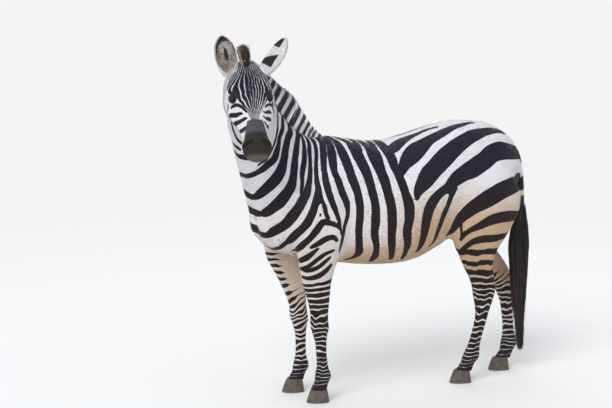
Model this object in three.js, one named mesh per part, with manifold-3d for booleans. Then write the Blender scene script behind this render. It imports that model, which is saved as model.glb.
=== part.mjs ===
// A still, life-size plains zebra, standing with its head turned to its left.
// Millimetres, +Z up. The animal faces -Y, so its left side is +X. The soles stand on Z = 0.
// Every piece is a loft: a run of closed rings, one for each row of a named profile.
import * as THREE from "three";
import { mergeVertices } from "three/addons/utils/BufferGeometryUtils.js";
import Module from "manifold-3d";

const wasm = await Module();
wasm.setup();

// ---------------------------------------------------------------- driving dimensions
const GAP = 0.5; // between neighbouring pieces
const FAR = 4000; // well past the animal
const PROUD = 200; // well past its side

// Trunk. y, top, bottom, half width, height of the widest place (share of the depth), squareness.
const TRUNK_SIDES = 22;
const TRUNK = [
  [-654, 955, 860, 50, 0.5, 2.0],
  [-636, 1030, 796, 108, 0.5, 2.1],
  [-580, 1110, 738, 164, 0.48, 2.2],
  [-480, 1185, 698, 190, 0.46, 2.2],
  [-400, 1236, 678, 200, 0.45, 2.1],
  [-330, 1262, 664, 210, 0.44, 2.1],
  [-220, 1252, 646, 236, 0.44, 2.1],
  [-100, 1230, 630, 260, 0.45, 2.1],
  [20, 1228, 624, 274, 0.46, 2.1],
  [140, 1250, 636, 276, 0.48, 2.1],
  [260, 1282, 682, 262, 0.52, 2.1],
  [370, 1302, 746, 244, 0.56, 2.1],
  [460, 1304, 800, 232, 0.58, 2.1],
  [560, 1290, 850, 212, 0.58, 2.1],
  [640, 1254, 888, 178, 0.56, 2.0],
  [704, 1196, 930, 126, 0.54, 2.0],
  [742, 1110, 985, 66, 0.5, 2.0],
  [754, 1070, 1010, 30, 0.5, 2.0],
];

// Neck. Crest x, y, z, throat x, y, z, half width, and where it is widest (share from the throat).
const NECK_SIDES = 16;
const NECK_STEP = 0.5; // rings for each row of the table: one on it and one between
const NECK = [
  [0, -220, 1190, 0, -500, 800, 150, 0.45],
  [0, -330, 1252, -6, -654, 885, 175, 0.45],
  [1, -405, 1272, -8, -688, 988, 155, 0.46],
  [9, -478, 1322, -12, -712, 1080, 140, 0.47],
  [22, -534, 1388, -14, -738, 1170, 129, 0.48],
  [38, -582, 1452, -10, -761, 1250, 122, 0.5],
  [48, -618, 1508, -4, -780, 1320, 124, 0.5],
  [56, -670, 1568, 12, -784, 1374, 120, 0.5],
  [64, -716, 1606, 38, -770, 1406, 100, 0.5],
];
const COLLAR = { y: -345, z: 1262, slope: 42 }; // the plane where the neck begins, through the withers

// Head. Its own frame starts at the poll: s runs to the lips, l to the left, n out of the forehead.
const POLL = [137, -744, 1629];
const HEAD_AZIMUTH = -13.6; // degrees, of the muzzle's heading from +X
const HEAD_PITCH = 42; // degrees below the horizon
const HEAD_ROLL = 2; // degrees, left side up
// s, profile line, underline, then half widths with their heights: brow edge, cheek, jaw.
const HEAD_SIDES = 22;
const HEAD = [
  [-70, -62, -120, 14, -70, 22, -90, 14, -110],
  [-52, -36, -150, 34, -52, 50, -86, 38, -128],
  [-20, -12, -184, 48, -28, 74, -86, 62, -146],
  [20, 0, -214, 60, -20, 92, -90, 82, -168],
  [60, 8, -238, 74, -20, 104, -94, 92, -186],
  [100, 12, -248, 87, -22, 110, -96, 96, -194],
  [140, 12, -244, 95, -26, 112, -94, 94, -190],
  [180, 10, -228, 94, -26, 111, -90, 88, -176],
  [220, 6, -206, 78, -22, 106, -90, 79, -160],
  [260, 2, -186, 58, -18, 94, -88, 69, -148],
  [310, -3, -164, 46, -18, 76, -80, 56, -134],
  [360, -7, -146, 40, -22, 62, -74, 46, -122],
  [400, -10, -138, 39, -24, 57, -69, 42, -116],
  [440, -16, -134, 42, -30, 62, -66, 45, -112],
  [470, -32, -130, 42, -46, 60, -74, 43, -110],
  [492, -54, -118, 32, -62, 45, -82, 32, -103],
  [504, -74, -102, 12, -80, 16, -88, 12, -96],
];

const EYE = { s: 178, l: 86, n: -44, radius: 20 };
const NOSTRIL = { s: 462, l: 52, n: -48, radii: [9, 13, 20], tilt: 35 };
const MOUTH = { from: 402, to: 530, n: -98, width: 300, gap: 2.4 }; // the line between the lips
const BALL_SIDES = 12;
const BALL_RINGS = 8;

// Ears. Half width, half depth and forward sway at shares of the length.
const EAR_SIDES = 10;
const EAR = [
  [0, 32, 25, 0],
  [0.15, 42, 27, 2],
  [0.35, 49, 26, 4],
  [0.55, 49, 22, 5],
  [0.75, 42, 18, 4],
  [0.9, 27, 12, 2],
  [0.97, 14, 8, 1],
  [1, 6, 5, 0],
];

const EAR_WALL = 4;
const EAR_SCOOP = { along: 14, out: 12 }; // how far the hollow is moved up the ear and out of its open side
const EARS = {
  left: { root: [138, -664, 1578], tip: [150, -559, 1735], opening: [-0.35, 0.75, -0.55] },
  right: { root: [108, -815, 1574], tip: [146, -869, 1753], opening: [0.9, -0.4, 0.1] },
};

// Hair. The mane's height and half width at the neck's own stations.
const MANE_ROOT = 30; // how deep the mane is set into the crest
const HAIR_SIDES = 8;
const MANE = [
  [0.6, 12, 12],
  [1, 22, 18],
  [2, 62, 22],
  [3, 94, 23],
  [4, 90, 23],
  [5, 64, 22],
  [6, 48, 21],
  [7, 42, 20],
  [7.8, 36, 16],
];

// The forelock's middle line, x, y, z, and its half widths across and along, from the brow up.
const FORELOCK = [
  [128, -745, 1596, 24, 22],
  [136, -751, 1636, 27, 22],
  [142, -758, 1668, 26, 19],
  [146, -763, 1686, 18, 12],
  [147, -765, 1692, 5, 5],
];
// The tail, the same way, from the root down.
const TAIL = [
  [2, 700, 1166, 30, 32],
  [4, 738, 1124, 30, 28],
  [6, 764, 1050, 27, 25],
  [6, 774, 960, 24, 24],
  [6, 780, 860, 22, 24],
  [6, 781, 780, 24, 35],
  [6, 779, 730, 30, 45],
  [6, 776, 640, 36, 52],
  [6, 778, 520, 34, 47],
  [6, 782, 380, 28, 38],
  [6, 789, 250, 20, 26],
  [6, 794, 150, 11, 14],
  [6, 796, 100, 4, 5],
];
const DOCK_END = 780; // the height where long hair hides the dock

// Legs, about the line through the knee or the hock, from the top down to the coronet.
// z, front, back, outer half width, inner half width, sideways shift of the middle, squareness.
const LEG_SIDES = 12;
const FORELEG = [
  [1130, -30, 40, 30, 30, 46, 2.0],
  [1090, -70, 78, 46, 60, 46, 2.0],
  [1020, -128, 108, 62, 70, 48, 2.1],
  [940, -176, 128, 70, 70, 50, 2.1],
  [860, -186, 136, 74, 72, 50, 2.1],
  [790, -164, 122, 70, 70, 44, 2.1],
  [720, -132, 94, 61, 60, 32, 2.1],
  [650, -114, 66, 54, 53, 22, 2.1],
  [570, -87, 54, 46, 46, 9, 2.1],
  [490, -60, 48, 39, 40, 3, 2.2],
  [430, -48, 43, 38, 37, 0, 2.4],
  [395, -48, 42, 39, 38, 0, 2.6],
  [360, -46, 45, 38, 37, 0, 2.6],
  [325, -37, 38, 31, 30, 0, 2.3],
  [290, -29, 33, 24, 23, 0, 2.2],
  [230, -27, 30, 21, 20, 0, 2.2],
  [175, -28, 32, 23, 22, 0, 2.2],
  [145, -34, 39, 29, 28, 0, 2.3],
  [120, -38, 43, 32, 31, 0, 2.2],
  [98, -43, 33, 29, 28, 0, 2.2],
  [80, -51, 21, 30, 29, 0, 2.2],
  [62, -62, 15, 35, 34, 0, 2.1],
];

const HINDLEG = [
  [1180, -60, 44, 34, 40, 76, 2.0],
  [1130, -120, 94, 64, 60, 74, 2.1],
  [1050, -184, 150, 86, 70, 66, 2.1],
  [960, -220, 176, 100, 74, 58, 2.2],
  [870, -234, 164, 100, 74, 52, 2.2],
  [800, -226, 128, 88, 70, 46, 2.2],
  [740, -200, 96, 74, 64, 36, 2.2],
  [680, -156, 62, 61, 55, 26, 2.2],
  [620, -121, 48, 54, 48, 14, 2.2],
  [560, -91, 53, 42, 40, 4, 2.2],
  [510, -76, 56, 38, 37, 0, 2.3],
  [470, -69, 56, 39, 38, 0, 2.5],
  [430, -61, 49, 38, 37, 0, 2.5],
  [385, -46, 42, 31, 30, 0, 2.4],
  [340, -35, 38, 25, 24, 0, 2.2],
  [260, -30, 36, 22, 21, 0, 2.2],
  [190, -31, 38, 23, 22, 0, 2.2],
  [150, -36, 45, 30, 29, 0, 2.3],
  [124, -40, 49, 32, 31, 0, 2.2],
  [102, -43, 38, 29, 28, 0, 2.2],
  [82, -51, 25, 30, 29, 0, 2.2],
  [62, -62, 16, 34, 33, 0, 2.1],
];

// Hoof, about the coronet's middle: z, toe, heel, half width.
const HOOF_SQUARENESS = 2.1;
const HOOF = [
  [61, -62, 16, 34],
  [48, -68, 20, 37],
  [8, -83, 27, 42],
  [0, -84, 27, 42],
];

// Names of a leg's pieces, from the top, with the height at which each ends.
const FORE_PIECES = [["shoulder", 700], ["forearm", 432], ["cannon", 61]];
const HIND_PIECES = [["thigh", 720], ["gaskin", 540], ["cannon", 63]];
// Where each leg stands: line holds z, x, y of the places that its middle passes through.
const LEGS = {
  foreleg_left: {
    profile: FORELEG,
    pieces: FORE_PIECES,
    side: 1,
    line: [[0, 112, -352], [120, 114, -356], [360, 118, -372], [700, 120, -372], [1200, 112, -330]],
  },
  foreleg_right: {
    profile: FORELEG,
    pieces: FORE_PIECES,
    side: -1,
    line: [
      [0, -108, -386],
      [120, -110, -374],
      [360, -114, -377],
      [560, -121, -400],
      [700, -124, -416],
      [1200, -112, -334],
    ],
  },
  hindleg_left: {
    profile: HINDLEG,
    pieces: HIND_PIECES,
    side: 1,
    line: [
      [0, 68, 444],
      [120, 76, 464],
      [330, 98, 512],
      [470, 108, 526],
      [600, 114, 504],
      [800, 118, 506],
      [1200, 90, 470],
    ],
  },
  hindleg_right: {
    profile: HINDLEG,
    pieces: HIND_PIECES,
    side: -1,
    line: [
      [0, -76, 746],
      [120, -84, 775],
      [330, -102, 772],
      [470, -110, 752],
      [640, -115, 660],
      [800, -118, 592],
      [1200, -90, 490],
    ],
  },
};

const HIDE = { color: 0xe9e4da, roughness: 0.75, metalness: 0 };
const HORN = { color: 0x5b5149, roughness: 0.55, metalness: 0 };
const HAIR = { color: 0x1d1716, roughness: 0.7, metalness: 0 };
const CORNEA = { color: 0x120d0b, roughness: 0.12, metalness: 0 };

// ---------------------------------------------------------------- curves and lofts
const v3 = (x, y, z) => new THREE.Vector3(x, y, z);
const rad = THREE.MathUtils.degToRad;
const ACROSS = v3(1, 0, 0);
const ALONG = v3(0, 1, 0);
const UP = v3(0, 0, 1);

// Reads a table whose rows start with a rising station: a smooth curve through every column.
function reader(rows) {
  const last = rows.length - 1;
  const slope = (i, k) => {
    const [a, b] = [rows[Math.max(i - 1, 0)], rows[Math.min(i + 1, last)]];
    return (b[k] - a[k]) / (b[0] - a[0]);
  };
  return (s) => {
    let i = 0;
    while (i < last - 1 && s > rows[i + 1][0]) i++;
    const h = rows[i + 1][0] - rows[i][0];
    const t = THREE.MathUtils.clamp((s - rows[i][0]) / h, 0, 1);
    const [t2, t3] = [t * t, t * t * t];
    return rows[i].map(
      (value, k) =>
        (2 * t3 - 3 * t2 + 1) * value +
        (t3 - 2 * t2 + t) * h * slope(i, k) +
        (3 * t2 - 2 * t3) * rows[i + 1][k] +
        (t3 - t2) * h * slope(i + 1, k),
    );
  };
}

// One ring: quarter superellipses with their own reach to each of four sides.
function ring(middle, side, up, reach, squareness, count) {
  const bend = (c) => Math.sign(c) * Math.abs(c) ** (2 / squareness);
  return Array.from({ length: count }, (_, i) => {
    const angle = (2 * Math.PI * i) / count;
    const [c, s] = [bend(Math.cos(angle)), bend(Math.sin(angle))];
    return middle
      .clone()
      .addScaledVector(side, c * (c > 0 ? reach.left : reach.right))
      .addScaledVector(up, s * (s > 0 ? reach.top : reach.bottom));
  });
}

// The same reach to both sides, and another to top and bottom.
const even = (wide, deep) => ({ left: wide, right: wide, top: deep, bottom: deep });

// A closed skin over rings of equal size, with a fan at each end.
function loft(rings) {
  const count = rings[0].length;
  const middle = (r) => r.reduce((sum, p) => sum.add(p), v3(0, 0, 0)).divideScalar(count);
  const points = [...rings.flat(), middle(rings[0]), middle(rings.at(-1))];
  const [first, end] = [points.length - 2, points.length - 1];
  const tail = (rings.length - 1) * count;
  const faces = [];
  for (let j = 0; j < count; j++) {
    const k = (j + 1) % count;
    for (let a = 0; a < tail; a += count) {
      const b = a + count;
      faces.push([a + j, a + k, b + k], [a + j, b + k, b + j]);
    }
    faces.push([first, k, j], [end, tail + j, tail + k]);
  }
  return solid(points, faces);
}

// A manifold from points and faces, turned so that its faces point out.
function solid(points, faces) {
  const swept = faces.reduce((sum, [a, b, c]) => sum + points[a].dot(points[b].clone().cross(points[c])), 0);
  const outward = swept > 0 ? faces : faces.map(([a, b, c]) => [a, c, b]);
  return manifold(points.flatMap((p) => p.toArray()), outward.flat());
}

function manifold(coordinates, corners) {
  return new wasm.Manifold(
    new wasm.Mesh({
      numProp: 3,
      vertProperties: new Float32Array(coordinates),
      triVerts: new Uint32Array(corners),
    }),
  );
}

// A closed three.js geometry as a manifold.
function fromGeometry(geometry) {
  const bare = new THREE.BufferGeometry();
  bare.setAttribute("position", geometry.getAttribute("position"));
  bare.setIndex(geometry.index);
  const merged = mergeVertices(bare, 1e-3);
  return manifold(merged.attributes.position.array, merged.index.array);
}

// The body with the most faces, of a solid that a cut may have left in several.
function largest(solidWithScraps) {
  const { vertProperties, triVerts } = solidWithScraps.getMesh();
  const parent = Array.from({ length: vertProperties.length / 3 }, (_, i) => i);
  const root = (i) => {
    while (parent[i] !== i) i = parent[i];
    return i;
  };
  const faces = Array.from({ length: triVerts.length / 3 }, (_, i) => [...triVerts.slice(3 * i, 3 * i + 3)]);
  for (const [a, b, c] of faces) {
    parent[root(b)] = root(a);
    parent[root(c)] = root(a);
  }
  const bodies = Map.groupBy(faces, ([a]) => root(a));
  const [biggest] = [...bodies.values()].sort((a, b) => b.length - a.length);
  const used = [...new Set(biggest.flat())];
  const place = new Map(used.map((old, i) => [old, i]));
  return new THREE.BufferGeometry()
    .setAttribute(
      "position",
      new THREE.Float32BufferAttribute(used.flatMap((i) => [...vertProperties.slice(3 * i, 3 * i + 3)]), 3),
    )
    .setIndex(biggest.flat().map((i) => place.get(i)));
}

// ---------------------------------------------------------------- trunk and neck
function trunk(grow = 0) {
  return loft(
    TRUNK.map(([y, top, bottom, half, widest, squareness]) => {
      const height = bottom + (top - bottom) * widest;
      const reach = {
        left: half + grow,
        right: half + grow,
        top: top - height + grow,
        bottom: height - bottom + grow,
      };
      return ring(v3(0, y, height), ACROSS, UP, reach, squareness, TRUNK_SIDES);
    }),
  );
}

const neckAt = reader(NECK.map((row, i) => [i, ...row]));

// Crest, throat and the neck's own directions at a station along it.
function neckFrame(station) {
  const [, cx, cy, cz, tx, ty, tz, half, widest] = neckAt(station);
  const [crest, throat] = [v3(cx, cy, cz), v3(tx, ty, tz)];
  const middleAt = (i) => {
    const row = neckAt(THREE.MathUtils.clamp(i, 0, NECK.length - 1));
    return v3(row[1] + row[4], row[2] + row[5], row[3] + row[6]);
  };
  const forward = middleAt(station + NECK_STEP).sub(middleAt(station - NECK_STEP));
  const up = crest.clone().sub(throat).normalize();
  const side = up.clone().cross(forward).normalize();
  return { crest, throat, up, side, half, widest };
}

function neck(grow = 0) {
  const stations = Array.from({ length: (NECK.length - 1) / NECK_STEP + 1 }, (_, i) => i * NECK_STEP);
  return loft(
    stations.map((station) => {
      const { crest, throat, up, side, half, widest } = neckFrame(station);
      const depth = crest.distanceTo(throat);
      const reach = {
        left: half + grow,
        right: half + grow,
        top: depth * (1 - widest) + grow,
        bottom: depth * widest + grow,
      };
      return ring(throat.lerp(crest, widest), side, up, reach, 2, NECK_SIDES);
    }),
  );
}

// Everything ahead of the plane where the neck meets the trunk.
function ahead(grow) {
  const box = new THREE.BoxGeometry(FAR, FAR, FAR).translate(0, grow - FAR / 2, 0);
  return fromGeometry(box.rotateX(rad(-COLLAR.slope)).translate(0, COLLAR.y, COLLAR.z));
}

// ---------------------------------------------------------------- head
const HEAD_FRAME = new THREE.Matrix4()
  .makeRotationZ(rad(HEAD_AZIMUTH))
  .multiply(new THREE.Matrix4().makeRotationY(rad(HEAD_PITCH)))
  .multiply(new THREE.Matrix4().makeRotationX(rad(HEAD_ROLL)))
  .setPosition(...POLL);

// Each ring is a closed smooth curve through the profile, brow, cheek, jaw and underline.
function head(grow = 0) {
  return loft(
    HEAD.map(([s, top, under, brow, browAt, cheek, cheekAt, jaw, jawAt]) => {
      const edge = [
        [brow + grow, browAt],
        [cheek + grow, cheekAt],
        [jaw + grow, jawAt],
      ];
      const outline = [
        v3(s, 0, top + grow),
        ...edge.map(([l, n]) => v3(s, l, n)),
        v3(s, 0, under - grow),
        ...edge.reverse().map(([l, n]) => v3(s, -l, n)),
      ];
      const curve = new THREE.CatmullRomCurve3(outline, true, "centripetal");
      return Array.from({ length: HEAD_SIDES }, (_, i) =>
        curve.getPoint(i / HEAD_SIDES).applyMatrix4(HEAD_FRAME),
      );
    }),
  );
}

// An egg in the head's frame, turned about the head's length.
function egg([s, l, n], radii, tilt) {
  const shape = new THREE.SphereGeometry(1, BALL_SIDES, BALL_RINGS).scale(...radii);
  return fromGeometry(shape.rotateX(rad(tilt)).translate(s, l, n).applyMatrix4(HEAD_FRAME));
}
const ball = (at, radius) => egg(at, [radius, radius, radius], 0);

// An ear: rings across the line from its root to its tip, less a scoop on the open side.
function ear({ root, tip, opening }) {
  const [base, end] = [v3(...root), v3(...tip)];
  const axis = end.clone().sub(base).normalize();
  const open = v3(...opening).projectOnPlane(axis).normalize();
  const side = open.clone().cross(axis);
  const build = (grow, scoop) =>
    loft(
      EAR.map(([share, half, depth, sway]) => {
        const middle = base.clone().lerp(end, share).addScaledVector(open, sway).add(scoop);
        return ring(middle, side, open, even(half + grow, depth + grow), 2, EAR_SIDES);
      }),
    );
  const scoop = axis.multiplyScalar(EAR_SCOOP.along).addScaledVector(open, EAR_SCOOP.out);
  return { outside: build(GAP, v3(0, 0, 0)), shell: build(0, v3(0, 0, 0)).subtract(build(-EAR_WALL, scoop)) };
}

// ---------------------------------------------------------------- hair
// The erect mane: rings across the crest, from the withers to the brow.
function mane(grow = 0) {
  return loft(
    MANE.map(([station, tall, half]) => {
      const { crest, up, side } = neckFrame(station);
      const reach = { left: half + grow, right: half + grow, top: tall + grow, bottom: MANE_ROOT };
      return ring(crest, side, up, reach, 2, HAIR_SIDES);
    }),
  );
}

// A hank of hair or a dock: rings across a middle line, each with its own two half widths.
function strand(rows) {
  const point = (i) => v3(...rows[THREE.MathUtils.clamp(i, 0, rows.length - 1)].slice(0, 3));
  return loft(
    rows.map(([x, y, z, wide, deep], i) => {
      const forward = point(i + 1).sub(point(i - 1));
      const back = ACROSS.clone().cross(forward).normalize();
      return ring(v3(x, y, z), forward.cross(back).normalize(), back, even(wide, deep), 2, HAIR_SIDES);
    }),
  );
}

// ---------------------------------------------------------------- legs
// A whole leg, from the shoulder blade or croup down to the coronet.
// proud moves its outer side further out, so that it can part the leg from the trunk.
function limb({ profile, line, side }, grow = 0, proud = 0) {
  const lineAt = reader(line);
  return loft(
    profile.map(([z, front, back, outer, inner, shift, squareness], i) => {
      const [, x, y] = lineAt(z);
      const [out, into] = [outer + grow + proud, inner + grow];
      const reach = {
        left: side > 0 ? out : into,
        right: side > 0 ? into : out,
        top: back + grow,
        bottom: grow - front,
      };
      const lift = i === 0 ? grow : 0;
      return ring(v3(x + side * shift, y, z + lift), ACROSS, ALONG, reach, squareness, LEG_SIDES);
    }),
  );
}

function hoof({ line }) {
  const [, x, y] = line[0];
  return loft(
    HOOF.map(([z, toe, heel, half]) => {
      const reach = { left: half, right: half, top: heel, bottom: -toe };
      return ring(v3(x, y, z), ACROSS, ALONG, reach, HOOF_SQUARENESS, LEG_SIDES);
    }),
  );
}

// The part of a solid between two heights.
function slice(whole, above, below) {
  const box = new THREE.BoxGeometry(FAR, FAR, above - below);
  return whole.intersect(fromGeometry(box.translate(0, 0, (above + below) / 2)));
}

// ---------------------------------------------------------------- the model
const zebra = new THREE.Group();
function add(name, shape, finish) {
  const mesh = new THREE.Mesh(largest(shape), new THREE.MeshStandardMaterial(finish));
  mesh.name = name;
  zebra.add(mesh);
}

// Trunk, neck and legs are one shape first, so that they meet in one smooth outline.
let flesh = trunk().add(neck());
for (const leg of Object.values(LEGS)) flesh = flesh.add(limb(leg));
for (const [name, leg] of Object.entries(LEGS)) {
  const whole = flesh.intersect(limb(leg, 0, PROUD));
  let above = FAR;
  for (const [piece, below] of leg.pieces) {
    add(`${name}_${piece}`, slice(whole, above, below + GAP), HIDE);
    above = below;
  }
  add(`${name}_hoof`, hoof(leg), HORN);
  flesh = flesh.subtract(limb(leg, GAP, PROUD));
}
add("trunk", flesh.subtract(ahead(GAP)), HIDE);
add("neck", flesh.intersect(ahead(0)).subtract(head(GAP)), HIDE);

let face = head();
for (const [name, way] of [["left", 1], ["right", -1]]) {
  const at = [EYE.s, way * EYE.l, EYE.n];
  add(`eye_${name}`, ball(at, EYE.radius), CORNEA);
  face = face.subtract(ball(at, EYE.radius + GAP));
  face = face.subtract(egg([NOSTRIL.s, way * NOSTRIL.l, NOSTRIL.n], NOSTRIL.radii, way * NOSTRIL.tilt));
}
const lips = new THREE.BoxGeometry(MOUTH.to - MOUTH.from, MOUTH.width, MOUTH.gap);
lips.translate((MOUTH.from + MOUTH.to) / 2, 0, MOUTH.n).applyMatrix4(HEAD_FRAME);
add("head", face.subtract(fromGeometry(lips)), HIDE);

let ridge = mane().subtract(trunk(GAP)).subtract(neck(GAP)).subtract(head(GAP));
for (const [name, place] of Object.entries(EARS)) {
  const { outside, shell } = ear(place);
  add(`ear_${name}`, shell.subtract(head(GAP)).subtract(neck(GAP)), HIDE);
  ridge = ridge.subtract(outside);
}
add("mane", ridge, HAIR);
add("forelock", strand(FORELOCK).subtract(head(GAP)).subtract(mane(GAP)).subtract(neck(GAP)), HAIR);

const tail = strand(TAIL).subtract(trunk(GAP));
add("tail_dock", slice(tail, FAR, DOCK_END + GAP), HIDE);
add("tail_switch", slice(tail, DOCK_END, 0), HAIR);

// The library's frame: the origin is under the middle of the whole, on the ground.
const bounds = new THREE.Box3().setFromObject(zebra);
const middle = bounds.getCenter(v3(0, 0, 0));
for (const mesh of zebra.children) mesh.geometry.translate(-middle.x, -middle.y, -bounds.min.z);

export default zebra;
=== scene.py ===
"""A still, life-size plains zebra, standing with its head turned to its left.

Tables are in millimetres in the animal's own frame: it faces -Y, its left side is +X and its soles
stand on Z = 0. Every surface is a function of two parameters, worked out as one whole array.
"""

import math

import bpy
import numpy as np
from mathutils import Matrix, Vector
from mathutils.bvhtree import BVHTree
from mathutils.kdtree import KDTree


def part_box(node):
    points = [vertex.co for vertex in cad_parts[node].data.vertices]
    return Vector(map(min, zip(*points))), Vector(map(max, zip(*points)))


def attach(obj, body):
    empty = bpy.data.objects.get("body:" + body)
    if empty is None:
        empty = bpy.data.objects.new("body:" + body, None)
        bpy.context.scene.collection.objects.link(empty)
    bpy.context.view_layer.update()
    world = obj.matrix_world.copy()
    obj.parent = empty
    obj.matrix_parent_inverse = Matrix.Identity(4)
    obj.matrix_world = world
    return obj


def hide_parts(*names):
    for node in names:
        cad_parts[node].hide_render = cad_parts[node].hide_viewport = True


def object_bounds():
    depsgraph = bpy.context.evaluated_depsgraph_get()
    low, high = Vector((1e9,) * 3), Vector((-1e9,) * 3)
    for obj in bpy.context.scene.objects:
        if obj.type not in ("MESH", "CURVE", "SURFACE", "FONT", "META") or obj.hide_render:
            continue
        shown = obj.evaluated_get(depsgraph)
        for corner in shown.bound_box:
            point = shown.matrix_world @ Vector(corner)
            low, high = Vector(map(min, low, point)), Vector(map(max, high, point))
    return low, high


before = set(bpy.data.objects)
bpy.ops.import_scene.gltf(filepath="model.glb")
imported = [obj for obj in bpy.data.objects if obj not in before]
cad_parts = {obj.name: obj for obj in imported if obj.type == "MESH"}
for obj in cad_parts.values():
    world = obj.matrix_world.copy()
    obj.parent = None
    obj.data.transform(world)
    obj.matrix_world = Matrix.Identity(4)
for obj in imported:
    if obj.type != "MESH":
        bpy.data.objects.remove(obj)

bl_info = {
    "name": "Plains Zebra",
    "version": (1, 0, 0),
    "blender": (4, 5, 0),
    "location": "3D View > Sidebar > Zebra",
    "description": "Builds the skin, coat, hair, eyes and hooves of a standing zebra over its solid frame",
    "category": "Add Mesh",
}

MM = 0.001
FRAME_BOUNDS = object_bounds()
HOOF_LOW, HOOF_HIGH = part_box("foreleg_left_hoof")
ORIGIN = np.array([(HOOF_LOW.x + HOOF_HIGH.x) / 2 - 0.112, HOOF_LOW.y + 0.436, HOOF_LOW.z])
UP = np.array([0.0, 0.0, 1.0])
ACROSS = np.array([1.0, 0.0, 0.0])
BACK = np.array([0.0, 1.0, 0.0])

# ------------------------------------------------------------------ sizes of the animal
# Trunk: y, top, bottom, half width, height of the widest place (share of the depth), squareness.
TRUNK = [
    [-654, 955, 860, 50, 0.5, 2], [-636, 1030, 796, 108, 0.5, 2.1], [-580, 1110, 738, 164, 0.48, 2.2],
    [-480, 1185, 698, 190, 0.46, 2.2], [-400, 1236, 678, 200, 0.45, 2.1], [-330, 1262, 664, 210, 0.44, 2.1],
    [-220, 1252, 646, 236, 0.44, 2.1], [-100, 1230, 630, 260, 0.45, 2.1], [20, 1228, 624, 274, 0.46, 2.1],
    [140, 1250, 636, 276, 0.48, 2.1], [260, 1282, 682, 262, 0.52, 2.1], [370, 1302, 746, 244, 0.56, 2.1],
    [460, 1304, 800, 232, 0.58, 2.1], [560, 1290, 850, 212, 0.58, 2.1], [640, 1254, 888, 178, 0.56, 2],
    [704, 1196, 930, 126, 0.54, 2], [742, 1110, 985, 66, 0.5, 2], [754, 1070, 1010, 30, 0.5, 2],
]
# Neck: crest x, y, z, throat x, y, z, half width, and where it is widest (share from the throat).
NECK = [
    [0, -220, 1190, 0, -500, 800, 150, 0.45], [0, -330, 1252, -6, -654, 885, 175, 0.45],
    [1, -405, 1272, -8, -688, 988, 155, 0.46], [9, -478, 1322, -12, -712, 1080, 140, 0.47],
    [22, -534, 1388, -14, -738, 1170, 129, 0.48], [38, -582, 1452, -10, -761, 1250, 122, 0.5],
    [48, -618, 1508, -4, -780, 1320, 124, 0.5], [56, -670, 1568, 12, -784, 1374, 120, 0.5],
    [64, -716, 1606, 38, -770, 1406, 100, 0.5],
]
# Head, from the poll: s to the lips, profile, underline, then half widths with their heights:
# brow edge, cheek, jaw.
POLL = np.array([137, -744, 1629])
HEAD_TURN = (-13.6, 42, 2)  # heading, pitch below the horizon, left side up
HEAD = [
    [-70, -62, -120, 14, -70, 22, -90, 14, -110], [-52, -36, -150, 34, -52, 50, -86, 38, -128],
    [-20, -12, -184, 48, -28, 74, -86, 62, -146], [20, 0, -214, 60, -20, 92, -90, 82, -168],
    [60, 8, -238, 74, -20, 104, -94, 92, -186], [100, 12, -248, 87, -22, 110, -96, 96, -194],
    [140, 12, -244, 95, -26, 112, -94, 94, -190], [180, 10, -228, 94, -26, 111, -90, 88, -176],
    [220, 6, -206, 78, -22, 106, -90, 79, -160], [260, 2, -186, 58, -18, 94, -88, 69, -148],
    [310, -3, -164, 46, -18, 76, -80, 56, -134], [360, -7, -146, 40, -22, 62, -74, 46, -122],
    [400, -10, -138, 39, -24, 57, -69, 42, -116], [440, -16, -134, 42, -30, 62, -66, 45, -112],
    [470, -32, -130, 42, -46, 60, -74, 43, -110], [492, -54, -118, 32, -62, 45, -82, 32, -103],
    [504, -74, -102, 12, -80, 16, -88, 12, -96],
]
EYE = np.array([185, 81, -33])
EYE_RADIUS = 20.0
NOSTRIL = np.array([448, 50, -44])
MOUTH_HEIGHT = -98.0
# Ears: share of the length, half width, half depth, forward sway, half angle of the closed back.
EAR = [
    [0, 30, 24, 0, 178], [0.1, 38, 26, 1, 165], [0.22, 45, 27, 3, 140], [0.38, 49, 26, 4, 118],
    [0.55, 49, 22, 5, 112], [0.75, 42, 18, 4, 110], [0.9, 27, 12, 2, 110], [0.97, 14, 8, 1, 112],
    [1, 5, 4, 0, 120],
]
EARS = {
    "left": ([138, -664, 1578], [150, -559, 1735], [-0.35, 0.75, -0.55]),
    "right": ([108, -815, 1574], [146, -869, 1753], [0.9, -0.4, 0.1]),
}
# Mane: station along the neck, height, half width.
MANE = [
    [0.6, 12, 12], [1, 22, 18], [2, 62, 22], [3, 94, 23], [4, 90, 23], [5, 64, 22], [6, 48, 21],
    [7, 42, 20], [7.8, 36, 16],
]
# Forelock and tail: x, y, z of the middle line, half widths across and along.
FORELOCK = [
    [128, -745, 1596, 25, 22], [135, -752, 1636, 29, 22], [140, -760, 1672, 30, 20],
    [144, -766, 1696, 25, 16], [146, -768, 1704, 12, 8],
]
TAIL = [
    [2, 690, 1172, 30, 32], [4, 738, 1124, 30, 28], [6, 764, 1050, 27, 25], [6, 774, 960, 24, 24],
    [6, 780, 860, 22, 24], [6, 781, 780, 24, 35], [6, 779, 730, 30, 45], [6, 776, 640, 36, 52],
    [6, 778, 520, 34, 47], [6, 782, 380, 26, 35], [6, 789, 250, 16, 21], [6, 794, 150, 8, 10],
    [6, 796, 100, 4, 5],
]
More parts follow.
